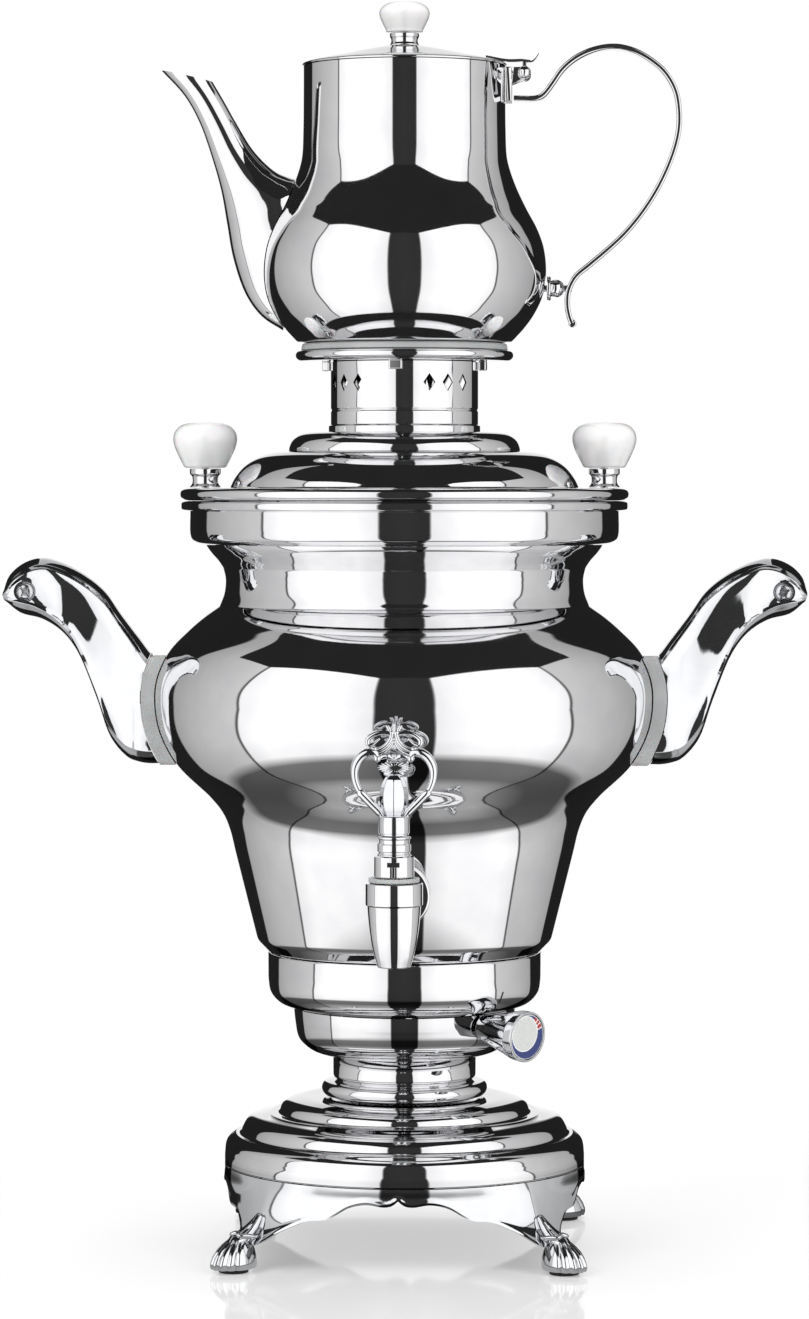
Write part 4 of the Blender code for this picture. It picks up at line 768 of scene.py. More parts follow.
def makeAnkle(corner):
    # the keel of the leg runs down into the paw, with a cuff over the toes
    base = lowZ("claw_base")
    path = [(82.4, 0, 19.6), (85.2, 0, 16.4), (88.0, 0, 13.8), (90.8, 0, 11.8), (94.4, 0, 9.6),
            (98.0, 0, 7.6)]
    radii = [1.6, 2.5, 3.2, 3.8, 4.4, 3.4]
    line = smoothPath(path)
    spread = [readShare(tuple((i / 5, r) for i, r in enumerate(radii)), k / (len(line) - 1))
              for k in range(len(line))]
    place = onAxis(base) @ Matrix.Rotation(corner * degree, 4, "Z")
    ankle = asPiece("ankle", wireMesh(line, spread, 24), casting, place)
    cuffs = []
    for side in (-1, 1):
        cuff = smoothPath([(84.5, side * 3.2, 14.8), (88.5, side * 4.7, 12.6), (92.6, side * 4.2, 13.2),
                           (95.4, side * 2.2, 13.4), (94.6, side * 0.6, 14.2)])
        cuffs.append(asPiece("cuff", wireMesh(cuff, [1.0] * len(cuff), 12), casting, place))
    return joined(ankle, *cuffs)


def makeClawBase():
    apron = makeApron()
    ledge = turned(
        "ledge",
        traced([(76.0, clawBase["ledgeTop"]), (76.0, clawBase["ledgeLow"], 0),
                (clawBase["ledgeInner"], clawBase["ledgeLow"], 0.5),
                (clawBase["ledgeInner"], clawBase["ledgeTop"], 0.5), (76.0, clawBase["ledgeTop"])][:-1]),
        casting, onAxis(lowZ("claw_base")), midSteps,
    )
    extras = [ledge]
    for corner in footCorners.values():
        extras += [makePaw(corner), makeAnkle(corner)]
    claw = joined(apron, *extras)
    claw.name = "clawBaseCasting"
    rides(claw, "base_and_tank", "chromed_casting", "claw_base")
    for word, corner in footCorners.items():
        node = "foot_pad_" + word
        line = traced([(0, 1.5), (5.7, 1.5), (6.2, 1.1, 0.2), (6.2, 0.25, 0.2), (5.8, 0.0, 0.2),
                       (4.2, 0.0, 0.1), (4.0, 0.25, 0.1), (0, 0.25)])
        middle = middleOf(node)
        pad = turned("footPad_" + word, line, rubber, at(middle.x, middle.y, 0), smallSteps,
                     closed=False)
        rides(pad, "base_and_tank", "black_rubber", node)


makeClawBase()
print("claw base made")


# Base dome, neck, housing and lower ring: spun and pressed sheet

columnOutlines = {
    "base_dome": ((26.2, 28.3), (35.3, 28.3, 0.6), (44.45, 27.9), (51.4, 25.62), (53.6, 21.6, 1.0),
                  (57.2, 21.6, 0.7), (66.75, 18.43), (70.1, 12.8, 1.0), (71.9, 12.8, 0.5),
                  (75.74, 9.52), (76.6, 5.0), (76.7, 0.0)),
    "thermostat_housing": ((47.2, 20.0), (46.6, 14.0), (45.3, 7.4), (42.8, 4.2), (39.0, 1.6),
                           (33.0, 0.0, 1.0), (3.9, 0.0)),
    "lower_ring": ((58.1, 23.2), (58.1, 16.5), (57.95, 11.0), (57.0, 6.3), (53.4, 2.2),
                   (47.5, 0.0, 1.0), (40.5, 0.0)),
}
baseNeck = (
    (30.4, 17.6), (30.4, 8.4, 0.8), (28.7, 6.75, 0.4), (31.6, 6.6, 0.5), (34.3, 5.7), (35.3, 3.3),
    (34.3, 0.9), (31.6, 0.0), (26.0, 0.0, 0.2), (26.0, 17.6, 0.2),
)


dial = {"bearing": 46.0, "tilt": 4.0, "rootOut": 48.0, "length": 25.6, "faceInset": 1.1,
        "faceThickness": 0.6, "faceRadius": 9.3}


def dialRoot():
    joint = [j for j in frame["joints"] if j["name"] == "dial_turn"][0]
    where = Vector(joint["pos_m"]) / mm
    return at(*where) @ facing(dial["bearing"], dial["tilt"])


def makeColumn():
    for node, outline in columnOutlines.items():
        line = shellLine(outline)
        piece = turned("".join(w.title() if i else w for i, w in enumerate(node.split("_"))), line,
                       steel, onAxis(lowZ(node)), fineSteps)
        if node == "thermostat_housing":
            # bores for the dial's stem and the cord gland
            combined(piece, "DIFFERENCE",
                     rodOf("stemBore", 2.6, -14, 4, steel, dialRoot(), 32),
                     rodOf("glandBore", 5.9, 30, 60, steel,
                           onAxis(middleOf("cord_gland").z) @ facing(180), smallSteps))
        rides(piece, "base_and_tank", "polished_steel", node)
    neck = turned("baseNeck", traced(baseNeck), steel, onAxis(lowZ("base_neck")), midSteps)
    rides(neck, "base_and_tank", "polished_steel", "base_neck")


indexMark = {"bearing": 47.4, "slant": 1.5, "from": 10.4, "to": 5.9, "steps": 9, "halfWidth": 0.42,
             "stand": 0.06}


def makeIndexMark():
    # the printed stroke on the ring that the dial is read against
    outline = traced(columnOutlines["lower_ring"], 16)
    sections = []
    for i in range(indexMark["steps"]):
        share = i / (indexMark["steps"] - 1)
        z = indexMark["from"] + (indexMark["to"] - indexMark["from"]) * share
        above, below = [(a, b) for a, b in zip(outline, outline[1:]) if b.y <= z < a.y][0]
        r = below.x + (above.x - below.x) * (z - below.y) / (above.y - below.y)
        turn = Matrix.Rotation((indexMark["bearing"] - indexMark["slant"] * share) * degree, 3, "Z")
        sections.append([turn @ Vector((across, -(r + out), z)) for across, out in (
            (indexMark["halfWidth"], 0.0), (indexMark["halfWidth"], indexMark["stand"]),
            (-indexMark["halfWidth"], indexMark["stand"]), (-indexMark["halfWidth"], 0.0))])
    mark = asPiece("dialIndexMark", sweptMesh(sections), nylon, onAxis(lowZ("lower_ring")))
    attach(mark, "base_and_tank")


makeColumn()
makeIndexMark()
print("column made")


# Dial: a chromed cap on a tapered stem, with the printed face let into it

def makeDial():
    root = dialRoot()
    length = dial["length"]
    recess = length - dial["faceInset"]
    line = traced([
        (0, recess), (9.6, recess, 0.1), (9.75, length, 0.15), (10.6, length, 0.5),
        (10.6, length - 4.2, 0.8), (5.4, 1.0), (5.2, 0.0, 0.3), (2.2, 0.0, 0.1), (2.2, -12.5, 0.2),
        (0, -12.5),
    ])
    knob = turned("dialKnob", line, casting, root, midSteps, closed=False)
    rides(knob, "dial", "chromed_casting", "dial_knob")
    low = recess + 0.3
    face = traced([(0, low + dial["faceThickness"]), (dial["faceRadius"], low + dial["faceThickness"],
                                                       0.15), (dial["faceRadius"], low, 0.05), (0, low)])
    centre = root @ Vector((0, 0, low)) * mm
    foil = printedDialFoil(centre, root.to_euler("XYZ"))
    disc = turned("dialPrintedFace", face, foil, root, midSteps, closed=False)
    rides(disc, "dial", "dial_print", "dial_face")


makeDial()
print("dial made")


# Tank: the shell of the belly with its soft tiers under the collar, and the rolled collar

tankOutline = (
    (84.8, 190.6), (84.8, 175.6), (84.0, 172.6), (82.0, 169.6), (78.9, 166.0), (77.0, 163.2, 0.6),
    (76.2, 159.8), (76.0, 157.4), (76.6, 152.4), (78.5, 147.3, 0.6), (84.6, 142.9), (91.2, 137.2),
    (99.9, 128.0), (105.1, 117.2), (106.3, 107.4), (104.2, 94.0), (96.6, 79.6), (82.6, 65.8),
    (77.4, 59.2), (74.4, 52.2), (72.0, 42.6), (69.2, 31.4), (62.6, 5.2, 1.4), (57.6, 0.0, 0.8),
    (50.0, 0.0),
)
tankCollar = (
    (85.1, 18.3), (93.2, 18.3), (94.55, 17.75), (94.8, 16.3), (94.55, 14.9), (93.2, 14.3),
    (91.0, 14.3, 0.5), (91.0, 4.6), (90.3, 2.3), (88.6, 0.9), (85.9, 0.0),
)


def tankJacket(distance, low, high):
    # a solid over a stretch of the tank, its side moved outward
    side = [p for p in offsetLine(traced(tankOutline, 6, rounded=False), distance) if low <= p.y <= high]
    line = [Vector((0, side[0].y))] + side + [Vector((0, side[-1].y))]
    return turned("jacket", line, silicone, onAxis(lowZ("tank_waist")), fineSteps, closed=False)


def makeTank():
    base = lowZ("tank_waist")
    shell = turned("tankShell", shellLine(tankOutline, perSpan=9), steel, onAxis(base), fineSteps)
    barrelZ = barrelHeight()
    hole = rodOf("hole", 6.3, 50, 100, steel, onAxis(barrelZ) @ facing(0))
    combined(shell, "DIFFERENCE", hole)
    rides(shell, "base_and_tank", "polished_steel", "tank_waist", "tank_belly", "tank_throat")
    collar = turned("tankCollar", shellLine(tankCollar), steel, onAxis(lowZ("tank_collar")), fineSteps)
    rides(collar, "base_and_tank", "polished_steel", "tank_collar")


def barrelHeight():
    return middleOf("tap_gasket").z


makeTank()
print("tank made")


# Side handles: two half castings each, arched over and under, flat to the front

handle = {
    "bossOut": 160.4, "bossRise": 45.4, "halfDepth": 15.5, "split": 0.15, "crown": 1.1,
    "topArch": 4.2, "lowArch": 5.4, "edge": 0.9, "counterbore": 4.5, "counterboreRadius": 4.6,
    # share of the run from pad to nose, and how far the front lies back there
    "waist": ((0.0, 0.0), (0.10, 0.0), (0.24, 2.2), (0.38, 4.2), (0.50, 4.9), (0.60, 4.4), (0.72, 1.9),
              (0.80, 0.3), (0.86, 0.0), (0.92, 0.6), (1.0, 3.2)),
    # along the top from the pad to the nose of the boss, and back underneath
    "top": ((0.6150, 0.292), (0.664, 0.383), (0.705, 0.560), (0.754, 0.786), (0.796, 0.996),
            (0.849, 1.151), (0.9155, 1.272), (0.967, 1.310), (1.016, 1.254), (1.0506, 1.140),
            (1.0638, 1.000)),
    "low": ((0.6150, -0.608), (0.676, -0.620), (0.710, -0.600), (0.735, -0.563), (0.779, -0.386),
            (0.815, -0.030), (0.868, 0.429), (0.910, 0.621), (0.962, 0.738), (1.019, 0.794),
            (1.0560, 0.900)),
}


def makeHandleHalf(side, front):
    beltZ = middleOf("handle_stud_right").z
    reach, rise = handle["bossOut"], handle["bossRise"]
    top = smoothPath([(out * reach, 0, up * rise) for out, up in handle["top"]], 5)
    low = smoothPath([(out * reach, 0, up * rise) for out, up in handle["low"]], 5)
    sections = []
    waist = smoothTable(handle["waist"])
    for step, (upper, lower) in enumerate(zip(top, low)):
        deep = handle["halfDepth"] - readShare(waist, step / (len(top) - 1))
        span = upper - lower
        length = span.length
        across = span.normalized()
        archTop = min(handle["topArch"], length * 0.3)
        archLow = min(handle["lowArch"], length * 0.3)
        edge = min(handle["edge"], length * 0.08)
        section = []
        for k in range(8):
            y = deep * k / 8 * 0.985
            section.append((y, length - archTop * (k / 8) ** 2.2))
        edgeTop = length - archTop
        for k in range(4):
            t = (k + 0.5) / 4 * math.pi / 2
            section.append((deep - edge + edge * math.sin(t) - 0.1, edgeTop - edge + edge * math.cos(t)))
        faceTop, faceLow = edgeTop - edge, archLow + edge
        for k in range(1, 10):
            t = k / 10
            bulge = handle["crown"] * (1 - (2 * t - 1) ** 2)
            section.append((deep - 0.1 + bulge - handle["crown"], faceTop + (faceLow - faceTop) * t))
        for k in range(4):
            t = (k + 0.5) / 4 * math.pi / 2
            section.append((deep - edge + edge * math.cos(t) - 0.1, faceLow - edge * math.sin(t)))
        for k in range(7, -1, -1):
            section.append((deep * k / 8 * 0.985, archLow * (k / 8) ** 2.2))
        ring = []
        for y, along in section:
            depth = max(y, handle["split"])
            point = lower + across * along
            ring.append(Vector((side * point.x, -depth if front else depth, point.z)))
        sections.append(ring)
    half = asPiece("handleHalf", sweptMesh(sections), casting, onAxis(beltZ), sharp=55)
    tools = [tankJacket(6.3, 60, 150)]
    hole = rodOf("hole", 3.2, 100, 125, casting, onAxis(beltZ) @ facing(side * 90), 32)
    tools.append(hole)
    if front:
        boss = onAxis(beltZ + rise) @ at(side * reach, 0, 0) @ facing(0)
        deep = handle["halfDepth"]
        tools.append(rodOf("counterbore", handle["counterboreRadius"],
                           deep - handle["counterbore"], deep + 5, casting, boss))
        tools.append(rodOf("bolt", 2.4, 0.0, deep, casting, boss, 32))
    combined(half, "DIFFERENCE", *tools)
    return half


def phillipsScrew(name, headRadius, headHeight, shankRadius, length, place):
    # pan head with a cross recess: about +Z, head up from zero, shank down
    line = traced([(0, headHeight), (headRadius * 0.55, headHeight * 0.98), (headRadius * 0.9,
                  headHeight * 0.6), (headRadius, 0.0, 0.2), (shankRadius, 0.0, 0.1),
                   (shankRadius, -length, 0.3), (0, -length)])
    screw = turned(name, line, screwSteel, place, smallSteps, closed=False)
    arm = headRadius * 0.62
    slots = [blockOf("slot", size, screwSteel, place @ at(0, 0, headHeight))
             for size in ((arm * 2, headRadius * 0.24, headHeight), (headRadius * 0.24, arm * 2,
                          headHeight * 1.02))]
    dimple = asPiece("dimple", turnedMesh([Vector(p) for p in ((0, headHeight * 1.2),
                     (headRadius * 0.34, headHeight * 1.2), (0, headHeight * 0.2))], 16), screwSteel,
                     place)
    return combined(screw, "DIFFERENCE", *slots, dimple)


def makeHandles():
    beltZ = middleOf("handle_stud_right").z
    for side, word in ((-1, "left"), (1, "right")):
        for front, place in ((True, "front"), (False, "rear")):
            half = makeHandleHalf(side, front)
            half.name = f"handle_{word}_{place}_casting"
            rides(half, "base_and_tank", "chromed_casting", f"handle_{word}_{place}")
        boss = onAxis(beltZ + handle["bossRise"]) @ at(side * handle["bossOut"], 0, 0) @ facing(0)
        seat = boss @ at(0, 0, handle["halfDepth"] - handle["counterbore"] + 0.3)
        turn = Matrix.Rotation((22 if side > 0 else 50) * degree, 4, "Z")
        screw = phillipsScrew("handleScrew_" + word, 4.0, 2.4, 2.0, 19.0, seat @ turn)
        rides(screw, "base_and_tank", "plain_steel", "handle_end_screw_" + word)
        # the pad follows the tank inside and is wrapped by the handle's foot outside
        low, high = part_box("handle_pad_" + word)
        size = (high - low) / mm
        middle = (high + low) / 2 / mm
        pad = blockOf("handlePad_" + word, (60, size.y - 0.2, size.z), silicone,
                      at(side * 106.3, middle.y, middle.z))
        bevelled(pad, 2.2, 4)
        combined(pad, "INTERSECT", tankJacket(5.95, 60, 150))
        hole = rodOf("hole", 3.2, 100, 125, silicone, onAxis(beltZ) @ facing(side * 90), 32)
        combined(pad, "DIFFERENCE", tankJacket(0.35, 55, 155), hole)
        rides(pad, "base_and_tank", "grey_silicone", "handle_pad_" + word)


makeHandles()
print("handles made")


# Tap: body with its nozzle and barrel, washer, bonnet, packing nut, gasket

tap = {
    "bodyRadius": 11.55, "tipRadius": 6.6, "outletRadius": 4.4, "length": 33.8, "shoulder": 25.1,
    "barrelRadius": 6.0, "barrelBore": 3.6, "flangeRadius": 13.5, "flangeThickness": 2.8,
    "notchWidth": 2.6, "notchHead": 5.0,
}


def onTap(z):
    return at(0, tapY, z)


def makeTap():
    low = lowZ("tap_body")
    shoulder = tap["shoulder"]
    line = traced([
        (tap["bodyRadius"], tap["length"] - 1), (tap["bodyRadius"], shoulder, 0.3),
        (10.8, shoulder - 0.4, 0.3), (10.5, shoulder - 4.6), (9.7, shoulder - 11.6),
        (8.4, shoulder - 18.5), (tap["tipRadius"], 0.0, 0.5), (tap["outletRadius"], 0.0, 0.4),
        (tap["outletRadius"], 16.0, 0.2), (6.3, 18.0, 0.2), (6.3, tap["length"], 0.3),
        (tap["bodyRadius"], tap["length"], 0.5), (tap["bodyRadius"], tap["length"] - 1),
    ])[:-1]
    body = turned("tapBody", line, steel, onTap(low), midSteps)
    barrelZ = barrelHeight()
    back = onTap(barrelZ) @ facing(180)
    flangeEnd = (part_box("tap_gasket")[0].y / mm - tapY) - 0.3
    flange = turned("flange", traced([
        (0, flangeEnd), (tap["flangeRadius"], flangeEnd, 0.3), (tap["flangeRadius"] - 0.2,
        flangeEnd - tap["flangeThickness"], 0.8), (8.6, flangeEnd - tap["flangeThickness"] - 0.6, 0.8),
        (tap["barrelRadius"] + 0.4, flangeEnd - 6.0), (tap["barrelRadius"], flangeEnd - 9.0),
        (tap["barrelRadius"], 8.0, 0), (0, 8.0)]), steel, back, midSteps, closed=False)
    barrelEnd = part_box("tap_body")[1].y / mm - tapY
    barrel = rodOf("barrel", tap["barrelRadius"], flangeEnd - 1, barrelEnd, steel, back)
    bore = rodOf("bore", tap["barrelBore"], 0, barrelEnd + 2, steel, back, 32)
    combined(body, "UNION", flange, barrel)
    combined(body, "DIFFERENCE", bore)
    rides(body, "base_and_tank", "polished_steel", "tap_body")

    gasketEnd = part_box("tap_gasket")[1].y / mm - tapY
    gasket = turned("tapGasket", traced([
        (13.2, gasketEnd), (13.2, flangeEnd + 0.3, 0.5), (6.35, flangeEnd + 0.3, 0.2),
        (6.35, gasketEnd)]), silicone, back, smallSteps)
    combined(gasket, "DIFFERENCE", tankJacket(0.35, 5, 60))
    rides(gasket, "base_and_tank", "grey_silicone", "tap_gasket")

    washer = turned("tapWasher", traced([(10.2, 1.7, 0.4), (10.2, 0.0, 0.4), (6.6, 0.0, 0.2),
                    (6.6, 1.7, 0.2), (10.2, 1.7, 0.4)][:4]), silicone, onTap(lowZ("tap_washer")),
                    smallSteps)
    rides(washer, "base_and_tank", "grey_silicone", "tap_washer")

    bonnetLow = highZ("tap_washer") + 0.3
    height = highZ("tap_bonnet") - bonnetLow
    line = traced([(8.1, height, 0.4), (8.1, 0.4, 0.3), (7.8, 0.0, 0.2), (6.0, 0.0, 0.1),
                   (6.0, -6.2, 0.2), (3.3, -6.2, 0.2), (3.3, height, 0.2)])
    bonnet = turned("tapBonnet", line, steel, onTap(bonnetLow), midSteps)
    stem = blockOf("stem", (tap["notchWidth"], 3.4, height * 0.66), steel,
                   onTap(bonnetLow + height * 0.33) @ at(0, -8.1, 0))
    head = blockOf("head", (tap["notchHead"], 3.4, 1.9), steel,
                   onTap(bonnetLow + height * 0.66) @ at(0, -8.1, 0))
    combined(bonnet, "DIFFERENCE", stem, head)
    tongue = blockOf("tongue", (1.3, 0.9, height * 0.55), steel,
                     onTap(bonnetLow + height * 0.28) @ at(0, -7.0, 0))
    bevelled(tongue, 0.2, 2)
    joined(bonnet, tongue)
    rides(bonnet, "base_and_tank", "polished_steel", "tap_bonnet")

    nutLow = lowZ("tap_packing_nut")
    nutHeight = highZ("tap_packing_nut") - nutLow
    line = traced([(6.8, nutHeight, 0.35), (6.8, 6.9, 0.3), (6.2, 6.5, 0.2), (6.2, 5.0, 0.2),
                   (6.8, 4.6, 0.35), (6.8, 1.9, 0.3), (6.3, 1.5, 0.15), (6.3, 1.0, 0.15),
                   (6.8, 0.6, 0.15), (6.8, 0.0, 0.15), (3.3, 0.0, 0.2), (3.3, nutHeight, 0.2)])
    nut = turned("tapPackingNut", line, steel, onTap(nutLow), midSteps)
    rides(nut, "base_and_tank", "polished_steel", "tap_packing_nut")


makeTap()
print("tap made")


# Key: a hub with a cast openwork head. Right half, out and up from the hub's top in mm

tapKey = {
    "hubRadius": 6.25, "hubHeight": 8.0, "stemRadius": 3.3, "roof": 2.8,
    "loop": ((6.8, 22.6), (7.6, 24.8), (10.4, 25.0), (13.5, 22.9), (15.5, 19.2), (15.6, 14.8),
             (14.5, 11.2), (13.2, 8.8)),
    "loopRadius": (1.0, 1.6, 1.95, 1.95, 1.75, 1.5, 1.35, 1.3),
    "arm": ((13.3, 9.0), (9.4, 5.0), (5.2, 0.8)), "armRadius": (1.75, 1.8, 1.8),
    "bow": ((1.6, 32.9), (5.0, 33.1), (8.3, 32.0), (10.6, 29.9), (10.3, 28.3), (8.2, 28.6),
            (6.0, 30.4)),
    "bowRadius": (0.9, 1.0, 1.05, 1.05, 0.9, 0.7, 0.5),
    "arch": ((0.85, 33.0), (1.35, 30.6), (2.7, 28.4), (4.7, 26.8), (7.4, 25.6)),
    "archRadius": (0.8, 0.85, 0.9, 0.95, 1.0),
    "lowArch": ((0.5, 30.4), (1.1, 28.2), (2.6, 26.3), (4.6, 25.1), (7.0, 24.2)),
    "lowArchRadius": (0.6, 0.7, 0.75, 0.8, 0.9),
    "wing": ((0.5, 22.4), (2.6, 23.6), (4.7, 23.2), (6.4, 22.0)), "wingRadius": (0.5, 1.15, 0.95, 0.4),
    "prongs": (-2.3, 0.0, 2.3), "prongTop": 36.8, "prongFoot": 32.6,
    "shell": {"up": 19.0, "across": 6.2, "tall": 2.4, "ribs": 9, "thick": 1.5},
    "bud": ((0.0, 16.9), (1.9, 16.5), (3.4, 15.2), (4.7, 12.9), (5.7, 9.6), (5.9, 6.8), (5.4, 3.4),
            (4.2, 0.6), (3.4, -0.6), (0.0, -0.6)),
    "budSides": 8,
}


def scrollWire(points, radii, side):
    line = smoothPath([(side * out, 0, up) for out, up in points])
    last = len(line) - 1
    table = tuple((i / (len(radii) - 1), r) for i, r in enumerate(radii))
    return wireMesh(line, [readShare(table, k / last) for k in range(last + 1)], 16)


def shellLeaf():
    # a fan of ribs like a cockle shell, thickest at its foot
    spec = tapKey["shell"]
    sections = []
    count = 72
    for t, size in ((0.0, 0.12), (0.04, 0.4), (0.14, 0.72), (0.32, 0.94), (0.5, 1.0), (0.68, 0.94),
                    (0.86, 0.72), (0.96, 0.4), (1.0, 0.12)):
        section = []
        for i in range(count):
            a = 2 * math.pi * i / count
            rib = 1 + 0.09 * math.cos(spec["ribs"] * 2 * a)
            section.append(Vector((spec["across"] * size * rib * math.cos(a),
                                   spec["thick"] * (t * 2 - 1), spec["up"] + spec["tall"] * size * rib
                                   * math.sin(a))))
        sections.append(section)
    return sweptMesh(sections)


def makeKey():
    hubTop = highZ("tap_packing_nut") + 0.3 + tapKey["hubHeight"]
    place = onTap(hubTop)
    hub = tapKey["hubHeight"]
    line = traced([(0, 0.0), (4.8, 0.0), (5.9, -0.35), (tapKey["hubRadius"], -1.2),
                   (tapKey["hubRadius"], -hub + 1.0, 0.2), (5.9, -hub + 0.5, 0.2),
                   (5.9, -hub, 0.2), (tapKey["stemRadius"], -hub, 0.2),
                   (tapKey["stemRadius"], -tapKey["roof"], 0.2), (0, -tapKey["roof"])])
    key = turned("tapKeyCasting", line, casting, place, midSteps, closed=False)
    forms = []
    for side in (1, -1):
        for part in ("loop", "arm", "bow", "arch", "lowArch", "wing"):
            forms.append(scrollWire(tapKey[part], tapKey[part + "Radius"], side))
        for x, z, r in ((6.7, 22.6, 1.5), (8.0, 26.3, 1.3), (2.6, 1.2, 1.3)):
            forms.append(ballMesh(side * x, z, r))
    for x in tapKey["prongs"]:
        lean = x * 0.14
        foot, top = tapKey["prongFoot"], tapKey["prongTop"]
        height = top - abs(x) * 0.35
        forms.append(wireMesh([(x * 0.62, 0, foot), (x * 0.8, 0, (foot + height) / 2),
                               (x + lean, 0, height - 0.5)], [0.62, 0.78, 0.72], 12))
    forms.append(shellLeaf())
    forms += [ballMesh(0, 23.6, 1.0), ballMesh(0, 1.4, 1.5), ballMesh(0, 29.3, 0.9)]
    forms.append(wireMesh([(-3.2, 0, 16.6), (0, 0, 17.0), (3.2, 0, 16.6)], [1.0, 1.3, 1.0], 14))
    extras = [asPiece("scroll", form, casting, place) for form in forms]
    bud = asPiece("bud", turnedMesh(traced(tapKey["bud"], 4), tapKey["budSides"]), casting,
                  place)
    bevelled(bud, 0.35, 3, 20)
    joined(key, bud, *extras)
    rides(key, "key_and_plug", "chromed_casting", "tap_key")


def ballMesh(x, z, radius):
    line = [Vector((radius * math.sin(math.pi * i / 12), radius * math.cos(math.pi * i / 12)))
            for i in range(13)]
    line[0].x = line[-1].x = 0.0
    bm = turnedMesh(line, 18)
    bmesh.ops.translate(bm, vec=(x, 0, z), verts=bm.verts)
    return bm


makeKey()
print("key made")


# Tank lid with its step dome, crown and knobs

lidOutline = (
    (28.5, 20.5), (51.0, 20.5), (56.4, 20.1), (62.6, 18.1), (68.2, 14.3), (72.2, 9.3), (74.2, 5.2, 0.6),
    (90.6, 5.2), (93.4, 5.0), (94.9, 3.9), (95.2, 2.6), (94.9, 1.3), (93.4, 0.2), (90.5, 0.0),
)
stepDome = ((32.3, 8.2), (39.0, 8.2), (44.2, 7.3), (47.6, 4.7), (49.0, 1.6), (49.1, 0.0))
crownNeck = (
    (31.3, 37.7), (31.3, 18.2, 0.25), (30.9, 17.4, 0.3), (31.3, 16.6, 0.25), (31.3, 11.3, 0.3),
    (32.2, 10.7, 0.3), (32.2, 6.6, 0.3), (31.3, 6.0, 0.3), (31.3, 0.8, 0.3), (38.5, 0.8, 0.2),
    (38.5, 0.0, 0.2), (30.5, 0.0, 0.2), (30.5, 37.7),
)
crownPlate = (
    (25.0, 7.4, 0.3), (44.4, 7.4), (45.6, 7.1), (46.2, 5.9), (46.0, 4.6), (44.6, 3.2), (43.2, 3.0),
    (30.2, 3.0, 0.3), (30.2, 0.0, 0.2), (25.0, 0.0, 0.2),
)
crownVents = {"width": 5.3, "height": 7.5, "rise": 28.8, "groups": 4, "copies": 3, "spacing": 16.0,
              "middle": 37.5}
crownLugs = {"breadth": 5.7, "reach": 3.2, "height": 4.2, "out": 33.4}
lidKnob = {
    "knob": ((0, 19.3), (4.6, 19.25), (8.6, 18.75), (11.3, 17.3), (13.1, 14.9), (13.6, 12.2),
             (13.0, 9.0), (11.6, 5.6), (10.0, 2.4), (9.0, 0.5), (8.3, 0.0, 0.3), (2.0, 0.0, 0.1),
             (2.0, 8.4, 0.1), (0, 8.4)),
    "ferrule": ((0, 16.3), (1.6, 16.3, 0.2), (1.6, 8.0, 0.1), (6.6, 8.0, 0.3), (6.6, 5.7, 0.3),
                (5.7, 4.8), (5.4, 3.2), (5.6, 1.6), (6.4, 0.5), (6.6, 0.0, 0.15), (1.6, 0.0, 0.1),
                (1.6, -1.4, 0.1), (2.8, -1.4, 0.1), (2.8, -3.0, 0.2), (0, -3.0)),
}


def makeLid():
    lid = turned("tankLidPressing", shellLine(lidOutline), steel,
                 onAxis(highZ("lid_pressing") - 20.5), fineSteps)
    under = highZ("lid_pressing") - 15.3 - 0.8
    ring = turned("ring", traced([(76.7, 0.0), (81.2, 0.0, 0.8), (81.2, -10.0, 0.3),
                                  (80.4, -10.0, 0.3), (80.4, -0.8, 0.3), (76.7, -0.8)]), steel,
                  onAxis(under), midSteps)
    joined(lid, ring)
    rides(lid, "tank_lid", "polished_steel", "lid_pressing")
    dome = turned("lidStepDome", shellLine(stepDome), steel, onAxis(lowZ("lid_step_dome")), fineSteps)
    rides(dome, "tank_lid", "polished_steel", "lid_step_dome")


def makeCrown():
    base = lowZ("crown_neck")
    neck = turned("crownNeck", traced(crownNeck), steel, onAxis(base), fineSteps)
    bm = bmesh.new()
    half = (crownVents["width"] / 2, crownVents["height"] / 2)
    corners = [(half[0], 0), (0, half[1]), (-half[0], 0), (0, -half[1])]
    near = [bm.verts.new((x, -3, z)) for x, z in corners]
    far = [bm.verts.new((x, 3, z)) for x, z in corners]
    for i in range(4):
        j = (i + 1) % 4
        bm.faces.new((near[i], near[j], far[j], far[i]))
    bm.faces.new(near[::-1])
    bm.faces.new(far)
    vent = asPiece("vent", bm, steel)
    vents = roundAxis("vents", vent, steel, onAxis(base), crownVents["groups"], crownVents["copies"],
                      crownVents["spacing"], crownVents["middle"], 31.0, crownVents["rise"])
    combined(neck, "DIFFERENCE", vents, sharp=30)
    rides(neck, "tank_lid", "polished_steel", "crown_neck")

    plateLow = highZ("crown_plate") - 7.4
    plate = turned("crownPlate", traced(crownPlate), steel, onAxis(plateLow), fineSteps)
    lug = blockOf("lug", (crownLugs["breadth"], crownLugs["reach"], crownLugs["height"]), steel,
                  Matrix.Identity(4))
    bevelled(lug, 0.7, 3)
    lugs = roundAxis("lugs", lug, steel, onAxis(plateLow), 4, 1, 0, -4.5, crownLugs["out"],
                     3.2 - crownLugs["height"] / 2)
    joined(plate, lugs)
    rides(plate, "tank_lid", "polished_steel", "crown_plate")
    line = traced([(34.0, 0.3), (34.0, 2.9, 0.5), (43.4, 2.9, 0.9), (43.9, 0.0, 0.5), (34.0, 0.0, 0.2),
                   (34.0, 0.3)])[:-1]
    seal = turned("crownSiliconeRing", line, silicone, onAxis(lowZ("crown_silicone_ring")), fineSteps)
    rides(seal, "tank_lid", "grey_silicone", "crown_silicone_ring")


